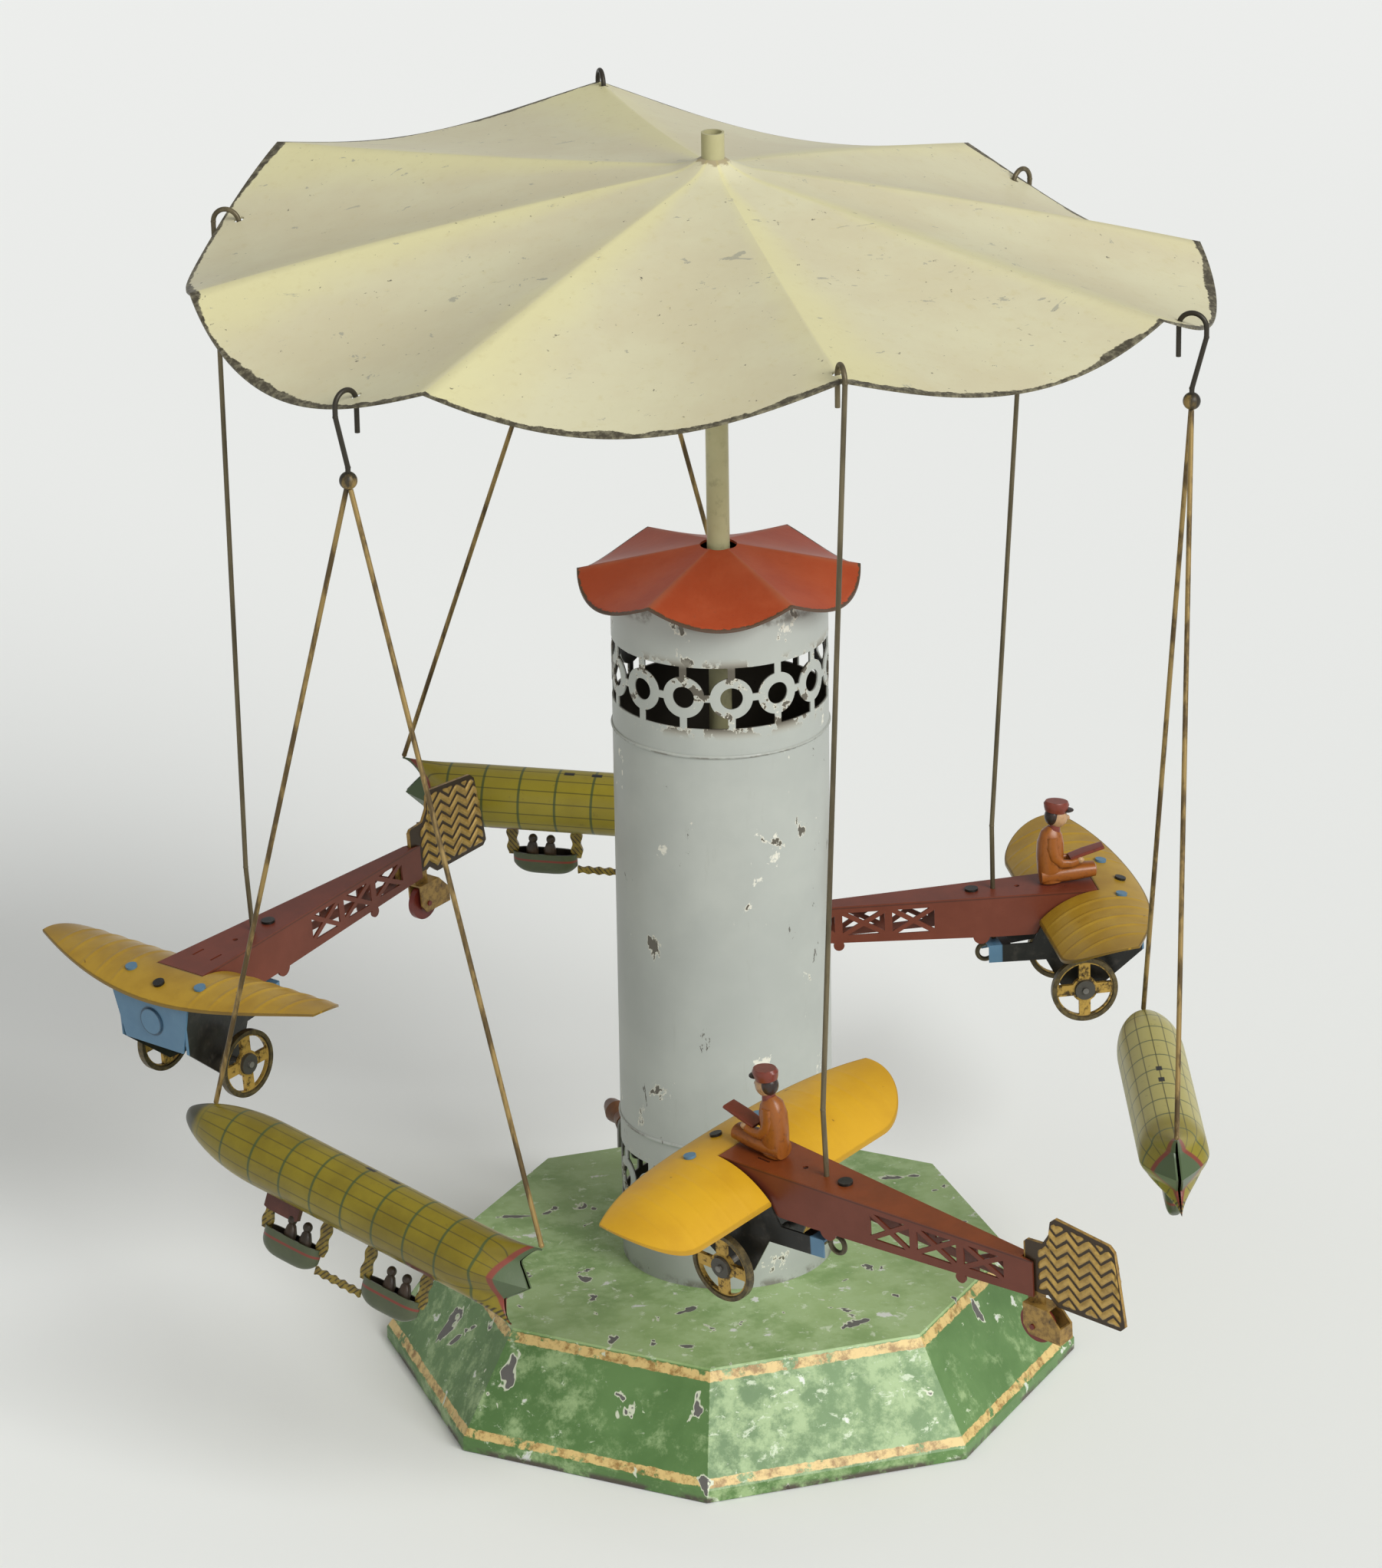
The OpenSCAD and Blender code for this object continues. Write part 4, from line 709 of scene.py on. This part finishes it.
def frame_paint(name, place):
    """Black undercarriage with a blue front plate, blue tabs on the wing and a blue end."""
    m = Paint(name + "_frame_paint")
    v = m.local(place)
    x, y, z = m.xyz(v)
    far = m.math("ABSOLUTE", y)
    tabs = m.times(m.band(x, 33.5, 38.4, 0.1), m.times(m.band(far, 11.5, 15.6, 0.1), m.step(z, -4.0, -3.0)))
    plate = m.step(x, 42.3, 42.5)
    end = m.times(m.step(x, 1.5, 1.0), m.step(z, -12.0, -13.0))
    blue = m.tones(m.noise(v, 0.2, 4.0), (74, 110, 138), (92, 128, 152))
    circle = m.band(m.round(y, m.add(z, 11.0)), 3.7, 4.5, 0.1)
    blue = m.over(m.times(m.times(circle, plate), 0.7), blue, (40, 58, 74))
    black = m.tones(m.step(m.noise(v, 0.3, 5.0), 0.5, 0.75), (22, 22, 19), (50, 47, 42))
    colour = m.mix(m.either(plate, m.either(tabs, end)), black, blue)
    m.bump(m.noise(v, 1.0, 3.0), 0.00008)
    return m.done(colour, 0.34, 0.0, 0.2)


def wheel_paint(name, place):
    """Tarnished gold spokes, a darker rim and a grey hub."""
    m = Paint(name + "_wheel_paint")
    v = m.local(place)
    x, z = m.xyz(v)[::2]
    r = m.round(m.add(x, -WHEEL_X), m.add(z, -WHEEL_Z))
    tarnish = m.noise(v, 0.5, 6.0, 0.7)
    gold = m.tones(m.step(tarnish, 0.46, 0.62), (184, 150, 74), (70, 56, 34))
    rim = m.tones(m.step(tarnish, 0.4, 0.7), (74, 66, 48), (112, 98, 64))
    colour = m.mix(m.step(r, 8.3, 8.7), gold, rim)
    colour = m.over(m.step(r, 3.3, 3.0), colour, (80, 78, 72))
    m.bump(tarnish, 0.0001)
    return m.done(colour, 0.4, 0.5, 0.0)


def tail_paint(name, place):
    """Gold paint with dark tarnish for the fork and the rudder's edge."""
    m = Paint(name + "_tail_paint")
    tarnish = m.noise(m.local(place), 0.35, 6.0, 0.7)
    colour = m.tones(m.step(tarnish, 0.4, 0.62), (166, 132, 66), (120, 92, 46))
    colour = m.over(m.times(m.step(tarnish, 0.60, 0.68), 0.8), colour, (48, 38, 26))
    m.bump(tarnish, 0.0001)
    return m.done(colour, 0.38, 0.2, 0.2)


def rudder_paint():
    """Gold on the crests of the ripples, dark in their troughs and along the outline."""
    m = Paint("herringbone_gold")
    v = m.mark("paint")
    y = m.xyz(v)[1]
    tarnish = m.noise(v, 0.35, 6.0, 0.7)
    gold = m.tones(m.step(tarnish, 0.38, 0.7), (192, 158, 84), (156, 124, 60))
    height = m.add(m.math("ABSOLUTE", y), m.times(m.add(tarnish, -0.5), 0.35))
    colour = m.over(m.step(height, 0.68, 0.58), gold, (58, 44, 26))
    return m.done(colour, 0.36, 0.25, 0.2)


def hull_paint(name, light, dark, faded):
    """Olive print: green rings, dark length lines, a green stern in a red arc, plaques, slots, a dark bow."""
    m = Paint(name + "_hull_paint")
    v = m.mark("paint")
    x, y, z = m.xyz(v)
    cloudy = m.noise(v, 0.05, 5.0, 0.6)
    colour = m.tones(m.step(cloudy, 0.34, 0.68), light, dark)
    if faded:
        colour = m.over(m.step(x, -42.0, -30.0), colour, faded)
    turn = m.math("ARCTAN2", m.math("ABSOLUTE", y), z)
    body = m.times(m.step(x, -57.0, -55.0), m.step(x, 56.0, 53.0))
    lines = m.times(m.stripes(turn, math.pi / 8, 0.035, 0.012), body)
    colour = m.over(m.times(lines, 0.75), colour, (66, 62, 30))
    rings = m.times(m.stripes(x, 11.2, 0.75, 0.15, -1.2), body)
    colour = m.over(m.times(rings, 0.8), colour, (52, 74, 44))
    curve = m.add(x, m.times(m.times(z, z), 0.05))
    colour = m.over(m.step(curve, -50.4, -50.9), colour, (122, 58, 44))
    colour = m.over(m.step(curve, -52.0, -52.5), colour, (76, 92, 62))
    colour = m.over(m.step(m.add(x, m.times(cloudy, 6.0)), 58.0, 61.0), colour, (64, 64, 46))
    plaque = m.times(m.band(x, -33.5, -24.0, 0.15), m.step(z, -6.6, -6.9))
    colour = m.over(plaque, colour, (96, 56, 46))
    slots = m.either(m.band(x, -2.4, 0.8, 0.2), m.band(x, -10.9, -7.7, 0.2))
    seam = m.times(m.step(m.math("ABSOLUTE", y), 1.0, 0.7), m.step(z, 0.0, 1.0))
    colour = m.over(m.times(slots, seam), colour, (16, 15, 10))
    fin = m.times(m.step(x, -45.0, -46.0), m.step(z, -8.3, -8.8))
    colour = m.over(m.times(fin, m.stripes(m.add(x, z), 1.8, 0.8, 0.2)), colour, (60, 52, 28))
    grime = m.noise(v, 0.35, 6.0, 0.7)
    colour = m.over(m.times(m.step(grime, 0.60, 0.74), 0.5), colour, (88, 72, 34))
    m.bump(grime, 0.0001)
    return m.done(colour, 0.36, 0.0, 0.15)


def boat_paint():
    """Dark green boats, a red line under the gunwale and a dark inside."""
    m = Paint("green_boat")
    v = m.mark("paint")
    z = m.xyz(v)[2]
    colour = m.tones(m.noise(v, 0.3, 4.0), (62, 70, 48), (82, 88, 62))
    colour = m.over(m.band(z, BOAT_Z - 2.2, BOAT_Z - 1.5, 0.1), colour, (118, 54, 42))
    colour = m.over(m.mark("inside", 2), colour, (40, 34, 26))
    m.bump(m.noise(v, 0.8, 3.0), 0.00008)
    return m.done(colour, 0.34, 0.0, 0.25)


def strut_paint():
    """Yellow struts and walkway with dark slanting hatches and a worn edge."""
    m = Paint("hatched_strut")
    v = m.mark("paint")
    x, z = m.xyz(v)[::2]
    worn = m.noise(v, 0.4, 5.0, 0.7)
    colour = m.tones(m.step(worn, 0.4, 0.66), (138, 118, 44), (112, 92, 36))
    hatch = m.stripes(m.add(x, m.times(z, 0.8)), 1.5, 0.5, 0.15)
    colour = m.over(m.times(hatch, m.step(worn, 0.36, 0.5)), colour, (58, 50, 26))
    m.bump(worn, 0.00008)
    return m.done(colour, 0.34, 0.0, 0.25)


def pilot_paint():
    """The tint of each part of the figure under a darker grime."""
    m = Paint("printed_pilot")
    v = m.mark("paint")
    grime = m.noise(v, 0.7, 6.0, 0.7)
    colour = m.over(m.times(m.step(grime, 0.5, 0.68), 0.4), m.mark("tint", 0), (70, 40, 26))
    m.bump(grime, 0.0001)
    return m.done(colour, 0.34, 0.0, 0.3)


def give(material, *names):
    """Puts a finish on CAD nodes."""
    for name in names:
        for slot in frame["nodes"][name].material_slots:
            slot.material = material


TIN = two_tone("bare_tin_sheet", (118, 116, 110), (148, 145, 138), 60.0, 0.42, 0.7, 0.0)
DARK_WIRE = two_tone("dark_wire", (84, 76, 58), (112, 102, 78), 300.0, 0.42, 0.4, 0.0, 0.12)
BRASS_WIRE = bridle_metal()
ROD = two_tone("cream_rod", (174, 169, 128), (184, 180, 140), 40.0, 0.42, 0.0, 0.05)
WHEEL_RED = two_tone("tail_wheel_red", (120, 44, 34), (102, 38, 30), 160.0, 0.36, 0.0, 0.2)
PLAQUE_RED = two_tone("plaque_red", (98, 56, 46), (84, 46, 38), 160.0, 0.38, 0.0, 0.2)
CREW_DARK = two_tone("crew_dark", (48, 40, 30), (66, 52, 38), 300.0, 0.4, 0.0, 0.2)
KNOB = two_tone("knob_wood", (112, 72, 40), (88, 54, 30), 120.0, 0.45, 0.0, 0.2)

give(base_paint(), "base_shell")
give(column_paint(), "column_tube")
give(TIN, "base_plate", "foot_bearing", "upper_bearing", "crank_bracket", "crank_shaft", "crank_pinion",
     "crank_arm", "crown_wheel")
give(ROD, "spindle", "canopy_collar")
give(KNOB, "crank_knob")


# Canopy and roof

def add_canopy():
    """The canopy's sheet with its hook holes, in place of the plain one."""
    top, rim, rows = canopy_grid()
    points, faces = shell(top, top - (0, 0, CANOPY_T), True)
    faces = holed(faces, *rim.shape, rows, HOOK_LINE)
    piece("canopy_sheet", points, faces, turned(CANOPY_TURN), canopy_paint(), "carousel", "cream_paint",
          ["canopy"], rim=np.tile(rim.ravel(), 2))


def add_roof():
    """The column's roof sheet, in place of the plain one."""
    top, rim = roof_grid()
    points, faces = shell(top, top - (0, 0, ROOF_T), True)
    piece("roof_sheet", points, faces, turned(ROOF_TURN), roof_paint(), "stand", "red_paint",
          ["column_roof"], sharp=70, rim=np.tile(rim.ravel(), 2))


add_canopy()
add_roof()


# Airships

# Light and dark olive of each hull, and the faded tone ahead of its stern, if any
OLIVES = {
    "right_airship": ((146, 134, 36), (132, 120, 30), (172, 163, 92)),
    "back_airship": ((152, 138, 40), (138, 124, 34), None),
    "front_airship": ((130, 116, 28), (112, 98, 22), None),
}
BOAT_GREEN = boat_paint()
STRUT_YELLOW = strut_paint()


def crew():
    """Two small figures in each boat: a leaning trunk and a round head."""
    parts = []
    for x in (BOAT_X - 4, BOAT_X + 1.5, -BOAT_X - 4, -BOAT_X + 1.5):
        trunk = [[x, 0, BOAT_Z - 2], [x, 0, BOAT_Z + 1], [x + 0.2, 0, BOAT_Z + 3], [x + 0.3, 0, BOAT_Z + 3.7]]
        parts.append(tube(trunk, [[1.3, 1.8], [1.4, 1.9], [1.1, 1.3], [0.7, 0.7]]))
        parts.append(blob((x + 0.4, 0, BOAT_Z + 4.6), (1.4, 1.25, 1.5), 20, 12))
    return join(parts)


def strut_bulge(s):
    """Half width of a strut: two swellings along it."""
    return 1.25 + 0.6 * np.sin(2 * np.pi * s) ** 2


def walkway_scallop(s):
    """Half width of the walkway: a cosine with five scallops."""
    return 0.95 + 0.25 * np.cos(10 * np.pi * s)


def plaque_round(s):
    """Half width of the plaque: even along the middle and rounded off at both ends."""
    return 2.3 - 0.5 * (2 * s - 1) ** 6


def struts():
    """Bulged struts from the hull to the ends of the boats, and a scalloped walkway between the boats."""
    near, far = BOAT_X - BOAT_HALF, BOAT_X + BOAT_HALF
    parts = [strip((x, BOAT_Z - 1), (x, STRUT_TOP_Z), strut_bulge) for x in (far, near, -near, -far)]
    parts.append(strip((-near, WALKWAY_Z), (near, WALKWAY_Z), walkway_scallop))
    return join(parts)


def add_airship(name):
    """Both half hulls, the boats with struts and crew in place of the plain gondola, and a plaque."""
    place = airship_place(name)
    points, faces = shell(hull_half(0), hull_half(HULL_T))
    olive = hull_paint(name, *OLIVES[name])
    piece(name + "_port_skin", points, faces, place, olive, name, "hull_paint", [name + "_port_hull"])
    piece(name + "_starboard_skin", points * (1, -1, 1), faces[:, ::-1], place, olive, name, "hull_paint",
          [name + "_starboard_hull"])
    one, faces = shell(boat(0)[:, ::-1], boat(BOAT_T)[:, ::-1])
    points, faces = join([(one + (x, 0, BOAT_Z), faces) for x in (-BOAT_X, BOAT_X)])
    inside = np.tile(np.repeat([0.0, 1.0], len(one) // 2), 2)
    piece(name + "_boats", points, faces, place, BOAT_GREEN, name, "gondola_paint", [name + "_gondola"],
          inside=inside)
    piece(name + "_struts", *struts(), place, STRUT_YELLOW, name, "gondola_paint")
    piece(name + "_crew", *crew(), place, CREW_DARK, name, "gondola_paint")
    plaque = strip((BOAT_X, PLAQUE_Z), (BOAT_X + PLAQUE_LENGTH, PLAQUE_Z), plaque_round, 1.6)
    piece(name + "_plaque", *plaque, place, PLAQUE_RED, name, "gondola_paint")
    give(BRASS_WIRE, name + "_bow_wire", name + "_stern_wire")


for name in AIRSHIP_HANG:
    add_airship(name)


# Planes

# Light and dark yellow of each wing, the strength of its outline, and the height of its ribs
DULL_GOLD = ((176, 140, 40), (156, 120, 28), 0.6)
WINGS = {"front_plane": ((204, 157, 32), (194, 146, 30), 0.25, 0.12), "right_plane": (*DULL_GOLD, 0.35),
         "left_plane": (*DULL_GOLD, 0.35)}
DECKS = {"front_plane": (112, 54, 22), "right_plane": (102, 48, 32), "left_plane": (102, 46, 30)}
RUDDER_GOLD = rudder_paint()
PILOT_PRINT = pilot_paint()


def pilot_parts():
    """A seated figure: lap, trunk, collar, head, hair, peaked cap, arms, hands, eyes and a chart board."""
    cloth, trim, skin, dark = srgb(146, 84, 30), srgb(116, 52, 38), srgb(178, 142, 104), srgb(46, 36, 32)
    parts = [
        (tube([[0.5, 0, 2.6], [5, 0, 2.7], [11, 0, 3.0], [17, 0, 3.2], [17.4, 0, 3.2]],
              [[2.9, 2.4], [3.2, 2.5], [3.1, 2.6], [2.6, 2.1], [1.8, 1.4]]), cloth),
        (tube([[3.9, 0, 0.6], [3.6, 0, 5], [3.5, 0, 9], [3.7, 0, 13], [4.1, 0, 16], [4.7, 0, 17.5]],
              [[2.8, 3.6], [3.1, 4.0], [3.0, 4.1], [3.2, 4.0], [2.7, 3.2], [1.5, 1.8]]), cloth),
        (tube([[4.8, 0, 16.6], [5.1, 0, 18.6]], [[1.9, 1.9], [1.6, 1.6]]), trim),
        (blob((5.9, 0, 20.6), (3.1, 2.4, 3.2)), skin),
        (blob((4.4, 0, 21.2), (2.4, 2.45, 2.9)), dark),
        (tube([[5.3, 0, 22.6], [5.5, 0, 23.6], [5.7, 0, 25.0], [5.8, 0, 25.9]],
              [[2.6, 3.2], [2.8, 3.6], [3.0, 3.9], [2.6, 3.4]], power=1.0), trim),
        (blob((8.9, 0, 22.7), (2.0, 2.1, 0.45)), dark),
        (blob((9.0, 0, 20.3), (0.7, 0.6, 0.8)), skin),
        (tube([[9.4, 0, 7.6], [14, 0, 9.0], [19.6, 0, 10.4]],
              [[2.4, 0.5], [2.5, 0.55], [2.3, 0.5]], power=0.4), trim),
    ]
    arm, bend = tube(
        [[3.8, 0, 15.2], [3.6, 0, 12], [4.4, 0, 8.8], [6.6, 0, 6.6], [9.6, 0, 6.4], [11.6, 0, 7.0]],
        [[0.9, 1.5], [1.0, 1.7], [1.0, 1.6], [1.0, 1.4], [0.9, 1.2], [0.8, 1.1]])
    for side in (-1, 1):
        parts += [((arm + (0, side * 2.5, 0), bend), cloth),
                  (blob((12.3, side * 2.3, 7.2), (1.1, 0.8, 1.0)), skin),
                  (blob((8.3, side * 0.9, 21.0), (0.35, 0.3, 0.22)), dark)]
    return parts


def add_pilot(name, place):
    """The seated figure on a plane's deck, in place of the plain one."""
    parts = pilot_parts()
    points, faces = join([part for part, tint in parts])
    tints = np.concatenate([np.tile(tint, (len(part[0]), 1)) for part, tint in parts])
    piece(name + "_pilot_figure", points + PILOT_SEAT, faces, place, PILOT_PRINT, name, "pilot_paint",
          [name + "_pilot"], tint=tints)


def add_plane(name):
    """A ribbed wing, both faces of the rudder and, where there is one, the pilot; the rest is painted."""
    place = plane_place(name)
    light, dark, outline, rib = WINGS[name]
    outer, rim = wing_grid(0, rib)
    points, faces = shell(outer, wing_grid(WING_T, rib)[0])
    yellow = wing_paint(name + "_yellow_wing", light, dark, outline)
    piece(name + "_wing_skin", points, faces, place, yellow, name, "wing_paint", [name + "_wing"],
          rim=np.tile(rim.ravel(), 2))
    for side, word in ((1, "left"), (-1, "right")):
        front, back = rudder_skin(side)
        points, faces = shell(front[:, ::-side], back[:, ::-side])
        piece(f"{name}_rudder_{word}", points, faces, place, RUDDER_GOLD, name, "tail_paint")
    give(fuselage_paint(name, place, DECKS[name]), name + "_fuselage")
    give(frame_paint(name, place), name + "_undercarriage")
    give(wheel_paint(name, place), name + "_wheels")
    give(tail_paint(name, place), name + "_tail")
    give(WHEEL_RED, name + "_tail_wheel")
    give(TIN, name + "_axle")
    give(DARK_WIRE, name + "_wire")
    if name + "_pilot" in frame["nodes"]:
        add_pilot(name, place)


for name in WINGS:
    add_plane(name)


# Floor, light and camera, in a view frame turned from the object's

VIEW_TURN = -18.37
VIEW_FROM = (-0.00854, -1.6977, 0.8361)
VIEW_TILT = 21.343
VIEW_ROLL = 0.9035
# The photo's height and its lens's focal length, in its pixels
PHOTO_HEIGHT = 2044
PHOTO_FOCAL = 8543.95
SENSOR = 36
LIT_POINT = Vector((0, 0, 0.18))
FLOOR_HALF = 40
FLOOR_Z = -0.0003


def floor_paint():
    """Pale paper with painted light, a little lighter to the back."""
    m = Paint("pale_floor")
    x, y = m.xyz(m.object())[:2]
    ahead = turned(VIEW_TURN) @ Vector((0, 1, 0))
    away = m.add(m.times(x, ahead.x), m.times(y, ahead.y))
    # Painted light: the paper grows lighter away from the camera.
    colour = m.tones(m.step(away, -0.4, 2.4), (238, 240, 237), (250, 251, 249))
    clouds = m.times(m.noise(m.object(), 3.0, 2.0), 0.1)
    return m.done(m.over(clouds, colour, (236, 237, 235)), 0.9, shine=0.0)


def add_lamp(light, at):
    """A lamp at a place in the view's frame, aimed at the object's middle."""
    lamp = bpy.data.objects.new(light.name, light)
    lamp.location = turned(VIEW_TURN) @ Vector(at)
    lamp.rotation_mode = "QUATERNION"
    lamp.rotation_quaternion = (LIT_POINT - lamp.location).to_track_quat("-Z", "Y")
    bpy.context.scene.collection.objects.link(lamp)


def add_stage():
    """A pale floor, an even room light, a wide key lamp and a soft fill."""
    mesh = bpy.data.meshes.new("floor")
    corners = np.array([(-1, -1, 0), (1, -1, 0), (1, 1, 0), (-1, 1, 0)]) * FLOOR_HALF + (0, 0, FLOOR_Z)
    mesh.from_pydata(corners.tolist(), [], [(0, 1, 2, 3)])
    mesh.materials.append(floor_paint())
    floor = bpy.data.objects.new("floor", mesh)
    bpy.context.scene.collection.objects.link(floor)
    world = bpy.data.worlds.new("soft_room")
    world.use_nodes = True
    world.node_tree.nodes["Background"].inputs["Color"].default_value = (1, 1, 1, 1)
    world.node_tree.nodes["Background"].inputs["Strength"].default_value = 0.42
    bpy.context.scene.world = world
    key = bpy.data.lights.new("key", "SUN")
    key.energy = 2.7
    key.angle = math.radians(35)
    add_lamp(key, (1.6, -1.9, 1.86))
    fill = bpy.data.lights.new("fill", "AREA")
    fill.size = 1.8
    fill.energy = 4
    add_lamp(fill, (-0.6, -2.2, 0.7))


def add_camera():
    """The photo's view, as measured: tilted down to the object and a little rolled."""
    lens = bpy.data.cameras.new("photo_view")
    lens.sensor_fit = "VERTICAL"
    lens.sensor_height = SENSOR
    lens.sensor_width = SENSOR
    lens.lens = PHOTO_FOCAL * SENSOR / PHOTO_HEIGHT
    lens.clip_start = 0.1
    lens.clip_end = 50
    camera = bpy.data.objects.new("photo_view", lens)
    camera.matrix_world = (turned(VIEW_TURN) @ Matrix.Translation(VIEW_FROM)
                           @ Matrix.Rotation(math.radians(90 - VIEW_TILT), 4, "X") @ turned(-VIEW_ROLL))
    bpy.context.scene.collection.objects.link(camera)
    bpy.context.scene.camera = camera


add_stage()
add_camera()
bpy.context.scene.view_settings.view_transform = "Standard"
